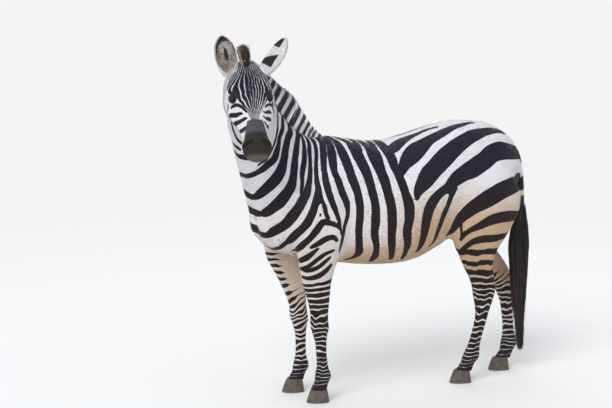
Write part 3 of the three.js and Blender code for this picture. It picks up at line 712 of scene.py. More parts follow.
# Dark strokes of the left side, from the spine or the crest down: x, y, z, half width.
STROKES = [
    # across the neck and on to the chest
    [[50, -535, 1430, 3], [85, -570, 1395, 4], [110, -580, 1350, 4], [125, -590, 1305, 4],
     [133, -605, 1260, 4], [134, -622, 1225, 3], [130, -645, 1185, 3], [115, -665, 1165, 4],
     [100, -680, 1150, 4]],
    [[30, -575, 1462, 12], [60, -530, 1385, 10], [90, -545, 1350, 10], [105, -555, 1320, 10],
     [125, -580, 1280, 9], [130, -585, 1255, 9], [135, -595, 1225, 12], [135, -610, 1185, 14],
     [125, -640, 1155, 14], [105, -670, 1125, 12], [70, -695, 1105, 10], [30, -710, 1095, 9],
     [-15, -715, 1100, 7]],
    [[25, -525, 1420, 13], [50, -490, 1350, 14], [85, -505, 1305, 16], [110, -530, 1275, 16],
     [130, -550, 1230, 16], [140, -565, 1175, 16], [145, -580, 1130, 21], [140, -600, 1095, 22],
     [125, -630, 1060, 23], [95, -655, 1025, 19], [70, -672, 1003, 15], [56, -680, 996, 12]],
    [[20, -480, 1370, 12], [30, -445, 1310, 10], [95, -475, 1260, 12], [120, -495, 1215, 14],
     [145, -510, 1165, 15], [155, -520, 1120, 16], [165, -535, 1060, 20], [160, -560, 1020, 23],
     [145, -590, 980, 25], [120, -620, 945, 21], [95, -638, 928, 17], [82, -645, 922, 13]],
    [[10, -440, 1320, 7], [25, -435, 1290, 7], [75, -440, 1255, 7], [115, -450, 1215, 9],
     [145, -465, 1160, 11], [160, -480, 1115, 10], [170, -485, 1060, 7], [175, -495, 1020, 5]],
    [[5, -415, 1285, 6], [25, -410, 1275, 6], [75, -410, 1245, 8], [120, -425, 1205, 9],
     [150, -435, 1145, 8], [165, -445, 1090, 10], [180, -465, 1025, 16], [180, -485, 990, 20],
     [185, -515, 950, 21], [170, -545, 905, 23], [160, -580, 870, 21], [125, -605, 845, 19],
     [105, -616, 831, 16], [95, -622, 823, 13]],
    [[0, -385, 1280, 8], [20, -380, 1270, 7], [70, -380, 1240, 9], [115, -390, 1200, 8],
     [145, -405, 1145, 9], [175, -415, 1080, 9], [205, -420, 1035, 13], [215, -435, 990, 14],
     [225, -455, 940, 16], [220, -480, 890, 17], [210, -510, 855, 17], [150, -530, 810, 16],
     [125, -555, 780, 12], [106, -565, 760, 10]],
    # over the shoulder
    [[0, -350, 1270, 9], [20, -345, 1262, 9], [65, -340, 1240, 11], [115, -355, 1200, 12],
     [155, -370, 1145, 13], [195, -380, 1090, 13], [220, -375, 1025, 14], [230, -360, 975, 14],
     [235, -340, 920, 10], [235, -325, 875, 6], [230, -315, 825, 5]],
    [[210, -415, 1025, 9], [225, -410, 990, 7], [230, -400, 960, 9], [235, -395, 930, 9],
     [235, -385, 905, 9]],
    [[235, -315, 845, 5], [240, -345, 870, 8], [240, -380, 885, 12], [235, -410, 890, 14],
     [235, -435, 860, 15], [225, -465, 820, 14], [205, -495, 785, 14], [150, -510, 750, 9],
     [112, -508, 731, 6]],
    [[230, -335, 795, 7], [235, -355, 815, 10], [235, -390, 810, 12], [225, -425, 790, 12],
     [215, -460, 770, 7]],
    [[220, -425, 765, 5], [210, -445, 745, 9], [190, -470, 720, 12], [155, -495, 700, 9]],
    [[215, -345, 750, 6], [215, -385, 735, 9], [205, -420, 710, 10], [180, -460, 675, 8],
     [150, -490, 660, 7]],
    [[210, -360, 715, 5], [205, -385, 695, 8], [195, -415, 670, 10], [175, -460, 655, 9],
     [155, -485, 660, 7]],
    [[200, -350, 675, 6], [195, -375, 650, 11], [185, -410, 625, 12], [170, -455, 615, 9],
     [145, -475, 620, 8]],
    # down the barrel
    [[0, -320, 1262, 8], [40, -310, 1255, 9], [90, -310, 1230, 11], [140, -320, 1185, 14],
     [190, -330, 1120, 15], [205, -320, 1075, 17], [220, -305, 1020, 17], [225, -285, 970, 16],
     [225, -280, 915, 11], [235, -295, 865, 9], [230, -300, 815, 8], [220, -305, 770, 7],
     [205, -310, 735, 4]],
    [[0, -288, 1258, 7], [45, -280, 1250, 8], [80, -270, 1235, 12], [130, -265, 1195, 16],
     [175, -255, 1135, 18], [200, -245, 1080, 19], [225, -230, 1020, 17], [230, -220, 960, 17],
     [235, -220, 900, 17], [225, -220, 840, 15], [205, -210, 775, 15], [175, -195, 720, 15],
     [140, -205, 695, 11], [105, -240, 675, 5]],
    [[0, -245, 1255, 9], [40, -235, 1250, 10], [70, -210, 1235, 12], [120, -195, 1205, 19],
     [160, -190, 1170, 21], [195, -175, 1115, 21], [215, -165, 1070, 19], [240, -155, 1005, 18],
     [245, -145, 945, 18], [245, -145, 875, 19], [240, -145, 815, 16], [215, -125, 755, 14],
     [175, -110, 695, 14], [125, -110, 665, 11]],
    [[0, -175, 1240, 8], [65, -165, 1230, 11], [120, -175, 1205, 13]],
    [[0, -130, 1235, 8], [60, -120, 1225, 11], [115, -105, 1200, 21], [160, -105, 1165, 26],
     [200, -100, 1110, 23], [230, -90, 1060, 23], [250, -80, 1000, 20], [260, -70, 940, 20],
     [260, -65, 870, 20], [245, -60, 800, 18], [220, -45, 745, 15], [160, -20, 675, 11]],
    [[0, -75, 1230, 7], [55, -80, 1220, 10], [115, -90, 1200, 12]],
    [[0, -25, 1230, 11], [60, -30, 1220, 16], [120, -30, 1195, 17], [165, -25, 1165, 18],
     [200, -25, 1125, 18], [225, -15, 1090, 19], [245, -5, 1045, 19], [260, 5, 1000, 19],
     [270, 20, 940, 24], [270, 20, 880, 21], [265, 15, 820, 20], [235, 30, 755, 16], [190, 40, 695, 11],
     [140, 45, 665, 5]],
    # over the flank, the croup and the haunch
    [[135, -30, 1185, 12], [115, 10, 1200, 19], [80, 60, 1220, 20], [55, 115, 1240, 16],
     [45, 175, 1255, 13], [40, 235, 1270, 11], [45, 285, 1280, 8]],
    [[220, 0, 1100, 21], [200, 30, 1130, 24], [180, 70, 1165, 31], [150, 125, 1195, 32],
     [130, 190, 1230, 29], [115, 260, 1255, 25], [95, 335, 1280, 20], [80, 400, 1290, 14],
     [60, 470, 1300, 9]],
    [[265, 60, 975, 9], [265, 70, 1010, 21], [255, 105, 1050, 35], [245, 140, 1085, 40],
     [230, 185, 1120, 40], [215, 235, 1155, 41], [195, 300, 1195, 37], [175, 370, 1230, 34],
     [155, 445, 1255, 29], [125, 535, 1260, 22], [95, 610, 1245, 15], [60, 650, 1240, 10]],
    [[260, 230, 1015, 21], [255, 275, 1050, 31], [245, 330, 1080, 36], [235, 385, 1100, 41],
     [230, 440, 1130, 41], [215, 495, 1160, 41], [200, 560, 1170, 41], [160, 635, 1155, 36],
     [110, 690, 1140, 30], [60, 730, 1120, 20]],
    [[60, 750, 985, 30], [130, 715, 998, 31], [185, 670, 1008, 32], [225, 615, 1003, 35],
     [260, 530, 985, 38], [265, 460, 955, 39], [255, 400, 925, 34], [240, 350, 890, 28],
     [220, 310, 850, 22], [195, 290, 805, 16], [180, 270, 770, 7]],
    [[150, 690, 850, 10], [200, 645, 848, 21], [240, 600, 850, 24], [260, 535, 855, 26],
     [260, 475, 845, 25], [250, 420, 820, 18], [240, 375, 800, 12], [215, 350, 780, 10], [200, 335, 745, 7]],
    [[225, 320, 845, 5], [220, 325, 810, 5], [210, 335, 770, 6]],
    [[160, 610, 755, 8], [205, 580, 752, 13], [225, 555, 750, 16], [230, 495, 745, 19], [225, 435, 745, 19],
     [210, 390, 730, 15], [185, 365, 700, 12], [160, 355, 680, 7]],
    [[260, 245, 1020, 21], [265, 200, 1000, 20], [270, 160, 970, 24], [275, 130, 930, 25],
     [270, 115, 885, 24], [265, 110, 835, 21], [245, 110, 785, 18], [210, 110, 735, 12], [185, 100, 700, 6]],
    [[260, 270, 1010, 14], [260, 250, 970, 12], [260, 235, 925, 12], [255, 215, 885, 14],
     [245, 200, 840, 14], [230, 190, 795, 11], [200, 185, 750, 8], [190, 170, 725, 5]],
    # across the throat
    [[-45, -725, 1240, 4], [-25, -742, 1215, 6], [-5, -745, 1200, 8], [15, -740, 1188, 10],
     [55, -730, 1185, 10], [85, -712, 1182, 6]],
    [[28, -785, 1370, 4], [38, -780, 1335, 6], [44, -775, 1300, 7], [50, -760, 1275, 7],
     [65, -745, 1255, 6]],
    [[-8, -762, 1248, 5], [20, -755, 1235, 7], [45, -745, 1225, 7]],
    # down the right side of the upper neck
    [[10, -605, 1485, 8], [-60, -620, 1455, 11], [-95, -645, 1405, 13], [-110, -670, 1340, 12],
     [-105, -700, 1280, 8], [-85, -720, 1225, 5]],
    [[15, -630, 1525, 8], [-55, -640, 1495, 11], [-90, -660, 1445, 13], [-105, -685, 1385, 12],
     [-100, -715, 1330, 8], [-75, -740, 1285, 4]],
    [[20, -660, 1560, 7], [-45, -675, 1535, 10], [-85, -690, 1485, 12], [-100, -710, 1435, 11],
     [-95, -730, 1380, 7], [-75, -750, 1335, 4]],
    [[30, -700, 1590, 6], [-30, -715, 1570, 9], [-70, -730, 1530, 11], [-85, -740, 1480, 9],
     [-85, -750, 1425, 5], [-60, -765, 1385, 3]],
]
# Strokes that the other side doesn't repeat, and those of the second set of edges.
ONE_SIDE = (12, 13, 14, *range(32, 39))
SECOND = (1, 3, 5, 7, 9, 11, 13, 16, 18, 19, 22, 23, 25, 27, 28, 33, 35, 37)
# Dark strokes of the head, in its own frame: s, l, n, half width. Its right side first.
HEAD_STROKES = [
    [[224, -96, -52, 4], [229, -81, -31, 7], [238, -65, -19, 6], [257, -50, -12, 5], [292, -31, -8, 3]],
    [[245, -100, -100, 4], [249, -95, -74, 9], [273, -76, -46, 9.5], [282, -60, -27, 6], [290, -52, -20, 3]],
    [[262, -95, -128, 4], [272, -84, -113, 8], [308, -70, -57, 9.5], [319, -51, -26, 7], [323, -38, -14, 4]],
    [[330, -66, -100, 4], [354, -62, -62, 8], [366, -47, -32, 7.5], [367, -36, -20, 4]],
    [[200, -104, -60, 3], [240, -100, -110, 3.5], [290, -80, -120, 4], [340, -60, -118, 3.5],
     [380, -48, -112, 3]],
    [[258, 56, -17, 3], [242, 69, -22, 4], [228, 84, -36, 4.5], [223, 93, -50, 4]],
    [[290, 42, -12, 3], [287, 55, -21, 4.5], [267, 74, -40, 7], [256, 87, -58, 6]],
    [[315, 40, -14, 3], [315, 54, -30, 5], [303, 68, -47, 8], [292, 79, -66, 6.5]],
    [[341, 45, -24, 3], [345, 57, -45, 5.5], [338, 64, -66, 5]],
    [[204, 96, -46, 3], [238, 99, -76, 3.8], [270, 90, -94, 4.2], [310, 75, -98, 4], [350, 60, -92, 3]],
    # round the cheeks and along the jaw, the same on both sides
    [[95, 112, -60, 5], [110, 114, -100, 7], [150, 108, -140, 7], [200, 94, -150, 6], [260, 72, -145, 4]],
    [[55, 104, -60, 5], [62, 108, -110, 8], [95, 108, -160, 8.5], [150, 96, -185, 8], [215, 76, -165, 6],
     [280, 58, -148, 4.5]],
    [[22, 94, -70, 5], [22, 98, -130, 9], [60, 92, -190, 10], [130, 78, -218, 10], [205, 56, -192, 8],
     [290, 36, -160, 5]],
    [[-5, 82, -100, 5], [0, 82, -160, 9], [60, 50, -232, 11], [150, 30, -238, 11], [230, 18, -200, 8]],
]
HEAD_BOTH = 10  # strokes from this one on are repeated on the other side
# Rings round each leg: the topmost one's height, how much darker they are than the rest, how far they
# climb towards the back, with the height and the spread of that, and height and ring number, counted
# downwards.
RINGS = {
    "foreleg_left": (600, 0.17, (0.25, 650, 60), [
        [60, 23], [115, 20], [170, 17], [230, 14], [288, 12], [352, 9], [438, 6], [530, 3], [620, 0],
        [700, -2.4]]),
    "foreleg_right": (695, 0, (0.8, 415, 75), [
        [60, 23.4], [105, 21], [164, 18], [222, 16], [304, 13], [383, 10], [453, 7], [543, 4], [629, 1],
        [700, -1.4]]),
    "hindleg_left": (702, 0.17, (-0.1, 480, 80), [
        [60, 20.6], [126, 17], [184, 14], [237, 12], [298, 10], [369, 8], [437, 6], [520, 3], [617, 1],
        [675, 0], [760, -1.4]]),
    "hindleg_right": (677, 0.02, (0.75, 540, 85), [
        [60, 20.5], [148, 16], [212, 13], [265, 11], [327, 9], [383, 7], [444, 5], [526, 2], [608, 0],
        [700, -2], [760, -3.2]]),
}
# How much wider the strokes are laid than their rows say.
STROKE_GAIN, STROKE_GROWTH, HEAD_GROWTH = 1.06, 2.0, 1.8
# The share of a ring that is dark, by height.
RING_DARK = [[60, 1.3], [74, 0.98], [100, 0.92], [140, 0.84], [180, 0.72], [250, 0.64], [400, 0.62],
             [560, 0.55], [700, 0.52]]
# The face's fine lines: s, width of seven of them round the face, how much of them is dark, how many
# there are to each side.
FINE_ROWS = [[-60, 46, 0.55, 8], [-30, 48, 0.62, 8.4], [0, 57, 0.7, 8.4], [40, 80, 0.74, 8.4],
             [90, 103, 0.78, 8.2], [140, 112, 0.8, 7.5], [190, 106, 0.78, 6], [240, 86, 0.72, 5.9],
             [290, 63, 0.66, 5.8], [330, 49, 0.56, 5.7], [365, 41, 0.4, 5.7], [400, 38, -0.2, 5.7]]


def along_path(rows, step):
    """Even steps along a smooth curve through the rows."""
    return by_row(rows, paced(rows, step))


def ripple(points, size, seed, octaves=2):
    """Smooth noise from -1 to 1: a mean of waves that run in seeded directions, with a length of
    about size, and finer ones of half the height over them."""
    rng = np.random.default_rng(seed)
    total, weight = np.zeros(len(points)), 0.0
    for octave in range(octaves):
        waves = unit(rng.normal(size=(6, 3))) * (2 * math.pi / size * 2**octave)
        total += np.sin(points @ waves.T + rng.uniform(0, 6.3, 6)).sum(1) / (2.4 * 2**octave)
        weight += 1 / 2**octave
    return total / weight


def mirrored(rows, shift):
    """A left stroke on the right side: turned over about the neck's middle, or on the chest about
    the line where the stripes meet, which lies left of the breastbone, and shifted a little."""
    x, y, z, half = rows.T
    station = np.clip(np.interp(z, [885, 988, 1080, 1170, 1250, 1320, 1374, 1406], np.arange(1, 9)), 1, 8)
    crest, throat = by_row(NECK, station)[:, 0], by_row(NECK, station)[:, 3]
    middle = (crest + throat) / 2 * smooth(-390, -480, y)
    meet = np.interp(z, [700, 765, 825, 925, 1000, 1080], [100, 105, 95, 80, 55, 0])
    meet = meet * smooth(-470, -550, y)
    t = x - middle
    turned = np.where(t > 160, -t, meet - (t - meet) * (160 + meet) / (160 - meet))
    sway = shift * smooth(20, 120, np.abs(x)) * smooth(-500, -380, y)
    return np.column_stack([middle + turned, y + sway * np.sin(z / 90 + shift), z, half])


def laid(rows, tree):
    """Points with half widths, each moved to the nearest point of the skin, with the way to its left
    in the surface, the way on, and whether it is an end: -1 the first, 1 the last."""
    found = [tree.find_nearest(Vector(p * MM + ORIGIN)) for p in rows[:, :3]]
    spots = (np.array([f[0] for f in found]) - ORIGIN) / MM
    ahead = unit(np.gradient(spots, axis=0))
    left = np.cross(np.array([f[1] for f in found]), ahead)
    end = np.zeros(len(rows))
    end[0], end[-1] = -1, 1
    return np.column_stack([spots, rows[:, 3], left, ahead, end])


# The longest distance kept, and those at which a stroke is too far off for a left and a right edge,
# or another one nearly as near.
FAR, AWAY, MIDWAY = 60.0, 12, 14


def edges_to(points, dots):
    """From each point to the left and the right edge of the nearest stroke of a set, both less than
    nothing inside it, and the stroke's number. Away from strokes, beyond their ends and midway
    between two of them both are the plain distance. Works through neighbouring points together,
    with the dots within reach of them."""
    both = np.full((len(points), 3), FAR)
    cell = (points // FAR).astype(int)
    order = np.lexsort(cell.T)
    for chunk in np.array_split(order, len(points) // 500 + 1):
        middle = points[chunk].mean(0)
        reach = np.linalg.norm(points[chunk] - middle, axis=1).max() + FAR + 20
        near = dots[((dots[:, :3] - middle) ** 2).sum(1) < reach**2]
        if len(near):
            gap = np.linalg.norm(points[chunk][:, None] - near[:, :3], axis=2) - near[:, 3]
            best = gap.argmin(1)
            other = np.where(near[:, 11] == near[best, 11][:, None], FAR, gap).min(1)
            dot, gap = near[best], gap[np.arange(len(chunk)), best]
            off = points[chunk] - dot[:, :3]
            beyond = (off * dot[:, 7:10]).sum(1) * dot[:, 10] > 0
            plain = (gap > AWAY) | beyond | ((gap > 1) & (other - gap < MIDWAY))
            side = np.sign((off * dot[:, 4:7]).sum(1) + 1e-9) * (gap + dot[:, 3])
            both[chunk, 0] = np.where(plain, gap, side - dot[:, 3])
            both[chunk, 1] = np.where(plain, gap, -side - dot[:, 3])
            both[chunk, 2] = dot[:, 11] + 1000
    both[:, :2] = np.minimum(both[:, :2], FAR)
    return both


def stroke_edges(points, tree):
    """The dark strokes' edges, in two sets that keep neighbours apart, so that a gap between two
    strokes stays sharp."""
    rng = np.random.default_rng(7)
    sets = ([], [])

    def add(second, dots):
        """Lays a stroke on the skin and numbers its dots."""
        number = len(sets[0]) + len(sets[1])
        sets[second].append(np.column_stack([laid(dots, tree), np.full(len(dots), number)]))

    for i, rows in enumerate(STROKES):
        dots = along_path(rows, 5)
        dots[:, 3] = np.maximum(dots[:, 3], 2) * STROKE_GAIN + STROKE_GROWTH
        y, z = dots[:, 1], dots[:, 2]
        dots[:, 3] *= 1 + 0.35 * smooth(1090, 1210, z) * smooth(-400, -300, y) * smooth(200, 100, y)
        add(i in SECOND, dots)
        if i not in ONE_SIDE:
            add(i in SECOND, along_path(mirrored(dots, rng.uniform(-14, 14)), 5))
    for i, rows in enumerate(HEAD_STROKES):
        for way in (1, -1) if i >= HEAD_BOTH else (1,):
            dots = along_path(rows, 3)
            dots[:, :3] = from_head(dots[:, :3] * [1, way, 1])
            dots[:, 3] += HEAD_GROWTH
            add(i % 2, dots)
    return [edges_to(points, np.concatenate(dots)) for dots in sets]


def ear_back(name, along, across):
    """The dark patch and the dark inner edge of the tip on an ear's back: 0 to 1."""
    out = across if name == "left" else -across
    top = 0.43 + 0.3 * out
    patch = smooth(0.19, 0.23, along) * smooth(top + 0.03, top - 0.01, along) * smooth(0.42, 0.38, out)
    tip = smooth(0.66, 0.7, along) * smooth(0.97, 0.93, along) * smooth(0.22, 0.12, out)
    return np.maximum(patch, tip)


def ear_inside(name, along, across):
    """The dark band within an ear's upper rim and the slit down its middle: 0 to 1."""
    out = across if name == "right" else -across
    round_rim = (np.abs((out + 0.2) / 0.85) ** 4 + np.abs(along / 0.915) ** 4) ** 0.25
    band = smooth(0.11, 0.07, np.abs(round_rim - 0.98)) * smooth(0.48, 0.6, along)
    slit = smooth(1.1, 0.6, np.hypot((out + 0.02) / 0.12, (along - 0.49) / 0.2))
    return np.maximum(band, slit)


def markings(points, normals, labels, places, tree):
    """What the coat's colour is made from, at each point: distances to the dark strokes, the number
    and dark share of the fine rings, soot, warmth and the pink of bare skin."""
    count = len(points)
    found = np.concatenate(stroke_edges(points, tree), axis=1)
    edges = found[:, [0, 1, 3, 4]] + 1.6 * ripple(points, 95, 3, 3)[:, None]
    ring, share = np.zeros(count), np.full(count, -0.5)
    soot, warm, pale = np.zeros(count), np.zeros(count), np.full(count, 0.5)
    x, y, z = points.T
    # legs
    for name, (_, way, line) in LEGS.items():
        top, more, (climb, at, wide), rows = RINGS[name]
        near = (y > 300 if "hind" in name else y < -330) & (x * way > 0) & (z < top + 40)
        on = (labels == name) | ((labels == "trunk") & near)
        zl, p = z[on], points[on]
        level = zl - climb * (p[:, 1] - curve(line, zl)[:, 1]) * bell((zl - at) / wide)
        ring[on] = curve(rows, level)[:, 0] + (0.3 - 0.2 * smooth(440, 540, zl)) * ripple(p, 75, 11, 2)
        dark = curve(RING_DARK, zl)[:, 0] + more * smooth(120, 220, zl) * smooth(640, 520, zl)
        dark = dark + 0.06 * ripple(p, 60, 13, 2)
        inside = smooth(0.72, 1.02, -way * normals[on, 0] + 0.25 * normals[on, 1])
        bare = inside * smooth(400, 560, zl)
        share[on] = dark - 0.7 * bare - 1.3 * smooth(top, top + 12, level)
        warm[on] = 0.3 * smooth(0.1, 0.8, -way * normals[on, 0]) * smooth(250, 500, zl)
    # the belly, the lower haunches and the thighs are warmer
    hind = smooth(-150, 150, y)
    warm += 0.06 + 0.12 * smooth(1120, 940, z) + 0.16 * smooth(950, 700, z)
    warm += hind * 0.75 * (smooth(1060, 830, z) - smooth(620, 400, z))
    warm += 0.7 * (labels == "trunk") * smooth(800, 690, z) * smooth(-560, -440, y) * (1 - hind)
    # head
    on = labels == "head"
    s, l, n = to_head(points[on]).T
    wide, dark, most = curve(FINE_ROWS, s).T
    about = np.arctan2(l, n + 75 - 35 * smooth(200, 340, s)) * (98 - 28 * smooth(200, 340, s))
    lines = 7 * about / wide + 0.2 * ripple(points[on], 60, 21, 2)
    crown = smooth(-75, -55, s) * smooth(most + 0.5, most - 0.1, np.abs(lines))
    # the lines on the right side are bolder and fewer
    ring[on] = lines - 0.45 * np.minimum(lines + 0.9, 0) * smooth(50, 140, s) * smooth(340, 250, s)
    share[on] = dark + 0.1 * ripple(points[on], 26, 22, 2) + 0.12 * bell(lines / 2.2) - 1.2 * (1 - crown)
    edge = 337 + np.minimum(3.6 * np.maximum(np.abs(l) - 34, 0), 80) + 0.25 * np.maximum(-n - 60, 0)
    edge = edge + 5 * ripple(points[on], 30, 23, 2)
    muzzle = smooth(-9, 9, s - edge)
    chin = smooth(MOUTH_HEIGHT + 2, MOUTH_HEIGHT - 6, n) * smooth(300, 380, s)
    lip = smooth(0, 1, (s - 440) / 22) * 0.85
    muzzle = muzzle * (1 - chin) + chin * lip
    aside = np.sqrt(((s - 188) / 36) ** 2 + ((np.abs(l) - 81) ** 2 + (n + 23) ** 2) / 24**2)
    socket = smooth(1.15, 0.8, aside)
    soot[on] = np.maximum(muzzle, 0.96 * socket)
    warm[on] = 0.02 + 0.4 * smooth(-90, -140, n) + 0.35 * bell((s - edge) / 10)
    # Near 0 on the muzzle's top, which gets the nose colour: its own grey with a painted sheen; 0.5 gives
    # soot, 1 the lips.
    pale[on] = 0.5 - 0.5 * muzzle * smooth(414, 392, s) + 0.5 * smooth(474, 520, s - 0.5 * (n + 60))
    # ears: along them, and round from one rim over the back to the other and home inside
    for name in EARS:
        on = labels == f"ear_{name}"
        along, about = places[on].T
        out = about < 0.5
        across = np.where(out, about * 4 - 1, 3 - about * 4)
        dark = np.where(out, ear_back(name, along, across), ear_inside(name, along, across))
        soot[on] = np.maximum(dark, 0.4 * ~out * smooth(0.95, 0.75, np.abs(across)))
        warm[on] = np.where(out, 0.1, 0.5)
        share[on], edges[on] = -0.5, FAR
    # dock: rings
    on = labels == "tail"
    ring[on] = (z[on] - 975) / 140 + 0.04 * ripple(points[on], 60, 31)
    share[on] = 0.5
    soot[on] = smooth(925, 895, z[on] + 8 * ripple(points[on], 20, 32))
    return {
        **dict(zip(("left_a", "right_a", "left_b", "right_b"), np.clip(edges, -FAR, FAR).T)),
        "ring": ring,
        "share": share,
        "soot": np.clip(soot, 0, 1),
        "warm": np.clip(warm, 0, 1),
        "pale": np.clip(pale, 0, 1),
        "near_a": found[:, 2],
        "near_b": found[:, 5],
    }


# ------------------------------------------------------------------ materials
class Wire:
    """A socket in an expression: each operator adds the Math node that works it out."""

    def __init__(self, tree, socket):
        self.tree, self.socket = tree, socket

    def math(self, operation, *others, clamp=False):
        """A Math node on this value and the others."""
        settings = {"operation": operation, "use_clamp": clamp}
        return self.tree.node("ShaderNodeMath", settings, [self, *others])

    def __add__(self, other):
        return self.math("ADD", other)

    def __sub__(self, other):
        return self.math("SUBTRACT", other)

    def __rsub__(self, other):
        return self.tree.node("ShaderNodeMath", {"operation": "SUBTRACT"}, [other, self])

    def __mul__(self, other):
        return self.math("MULTIPLY", other)

    def __truediv__(self, other):
        return self.math("DIVIDE", other)

    __radd__, __rmul__ = __add__, __mul__

    def ramp(self, low, high):
        """0 to 1 with level ends as this value goes from low to high."""
        place = ((self - low) / (high - low)).math("ADD", 0.0, clamp=True)
        return place * place * (3.0 - 2.0 * place)


class Tree:
    """A material's nodes: the one method adds a node, its settings first and then its inputs."""

    def __init__(self, material):
        material.use_nodes = True
        self.tree = material.node_tree
        self.tree.nodes.clear()

    def node(self, kind, settings=None, inputs=(), output=0):
        """Adds a node and returns one output. Inputs are a list in order, or named in a dict."""
        node = self.tree.nodes.new(kind)
        for key, value in (settings or {}).items():
            setattr(node, key, value)
        pairs = inputs.items() if isinstance(inputs, dict) else enumerate(inputs)
        for key, value in pairs:
            if value is None:
                continue
            if isinstance(value, Wire):
                self.tree.links.new(value.socket, node.inputs[key])
            else:
                node.inputs[key].default_value = value
        return Wire(self, node.outputs[output]) if len(node.outputs) else None

    def attribute(self, name):
        """A number that the mesh carries at its vertices."""
        return self.node("ShaderNodeAttribute", {"attribute_name": name}, output="Fac")

    def blend(self, factor, first, second, how="MIX"):
        """A mix of two colours, each a wire or a colour as it looks on a screen."""
        first, second = (c if isinstance(c, Wire) else linear(c) for c in (first, second))
        settings = {"data_type": "RGBA", "blend_type": how}
        return self.node("ShaderNodeMix", settings, {0: factor, 6: first, 7: second}, 2)

    def noise(self, scale, detail=2.0, roughness=0.5, vector=None):
        """Noise at a number of waves to the metre."""
        vector = vector or self.node("ShaderNodeTexCoord", output="Object")
        return self.node("ShaderNodeTexNoise", {}, {"Vector": vector, "Scale": scale, "Detail": detail,
                                                    "Roughness": roughness})

    def surface(self, **inputs):
        """The Principled shader and the output. Names are those of its sockets."""
        inputs = {key.replace("_", " "): value for key, value in inputs.items()}
        shader = self.node("ShaderNodeBsdfPrincipled", {}, inputs)
        self.node("ShaderNodeOutputMaterial", {}, {"Surface": shader})

    def bump(self, height, distance, strength=1.0):
        """A Bump node's normal from a height."""
        inputs = {"Height": height, "Distance": distance, "Strength": strength}
        return self.node("ShaderNodeBump", {}, inputs)


def linear(colour):
    """A colour as it looks on a screen, as light."""
    c = np.asarray(colour, float)
    c = np.where(c <= 0.04045, c / 12.92, ((c + 0.055) / 1.055) ** 2.4)
    return (*c.tolist(), 1.0)


def material(name):
    """A new material and its tree."""
    made = bpy.data.materials.new(name)
    return made, Tree(made)


def coat_material(name, bumpy):
    """Striped hide: a dark share where either distance is under nothing or the ring's number is near
    a whole one, over a white that warms towards the belly, with soot on the muzzle and feet, and a
    painted sheen lightening the muzzle's top."""
    made, tree = material(name)
    settings = bpy.context.scene.zebra
    place = tree.node("ShaderNodeTexCoord", output="Object")
    height = tree.node("ShaderNodeSeparateXYZ", {}, [place], output="Z")
    fine = tree.noise(420.0, 2.0, 0.6, place) - 0.5
    sets = [tree.attribute(f"left_{n}").math("MAXIMUM", tree.attribute(f"right_{n}")) for n in "ab"]
    mark = sets[0].math("MINIMUM", sets[1])
    stroke = (mark + fine * 4.0).ramp(1.1, -1.1)
    ring = (tree.attribute("ring") + 0.5).math("FRACT") - 0.5
    ring = ring.math("ABSOLUTE") * 2.0
    line = (tree.attribute("share") + fine * 0.2 - ring).ramp(-0.07, 0.07)
    dark = stroke.math("MAXIMUM", line)
    soot, warm = tree.attribute("soot"), tree.attribute("warm")
    broad = tree.noise(9.0, 3.0, 0.6, place)
    warm = warm.math("ADD", broad * 0.3 - 0.15, clamp=True)
    white = tree.blend(warm, settings.white, settings.tan)
    low, foot = (height + broad * 0.12).ramp(1.22, 0.86), (height + broad * 0.1).ramp(0.14, 0.32)
    black = tree.blend(low * (foot * 0.5 + 0.5), settings.black, settings.brown)
    colour = tree.blend(dark, white, black)
    pale = tree.attribute("pale")
    # The muzzle's top gets the nose colour, its own dark grey lightened and blued by a painted sheen; below
    # it soot, and paler skin at the lips.
    muzzle_soot_and_sheen = tree.blend(pale.ramp(0.05, 0.45), settings.nose_grey_and_sheen, settings.soot)
    muzzle_soot_and_sheen = tree.blend(pale.ramp(0.55, 0.98), muzzle_soot_and_sheen, settings.lip)
    colour = tree.blend((soot + fine * 0.25).ramp(0.25, 0.85), colour, muzzle_soot_and_sheen)
    speck = tree.noise(1500.0, 2.0, 0.7, place)
    grey = tree.blend(speck, (0, 0, 0), (1, 1, 1))
    colour = tree.blend((speck - 0.5).math("ABSOLUTE") * 0.5, colour, grey, "OVERLAY")
    inputs = {"Base_Color": colour, "Roughness": 0.62 - dark * 0.1, "Sheen_Weight": 0.05,
              "Sheen_Roughness": 0.4, "Specular_IOR_Level": 0.24}
    if bumpy:
        hair = tree.noise(900.0, 3.0, 0.65, place)
        inputs["Normal"] = tree.bump(hair + broad * 0.4, 0.0009, 0.55)
    tree.surface(**inputs)
    return made


def hair_material(name, root, tip, streak):
    """Long hair: from a root colour to a tip colour along it, and streaks by the strand's own number."""
    made, tree = material(name)
    fine = tree.noise(500.0, 2.0, 0.6)
    colour = tree.blend(tree.attribute("tip"), root, tip)
    colour = tree.blend(tree.attribute("shade"), colour, streak)
    tree.surface(Base_Color=colour, Roughness=0.5, Specular_IOR_Level=0.35, Sheen_Weight=0.1,
                 Normal=tree.bump(fine, 0.0006, 0.4))
    return made


def set_values(mesh, **values):
    """Numbers carried at the vertices."""
    for name, numbers in values.items():
        layer = mesh.attributes.new(name, "FLOAT", "POINT")
        layer.data.foreach_set("value", np.ascontiguousarray(numbers, np.float32))


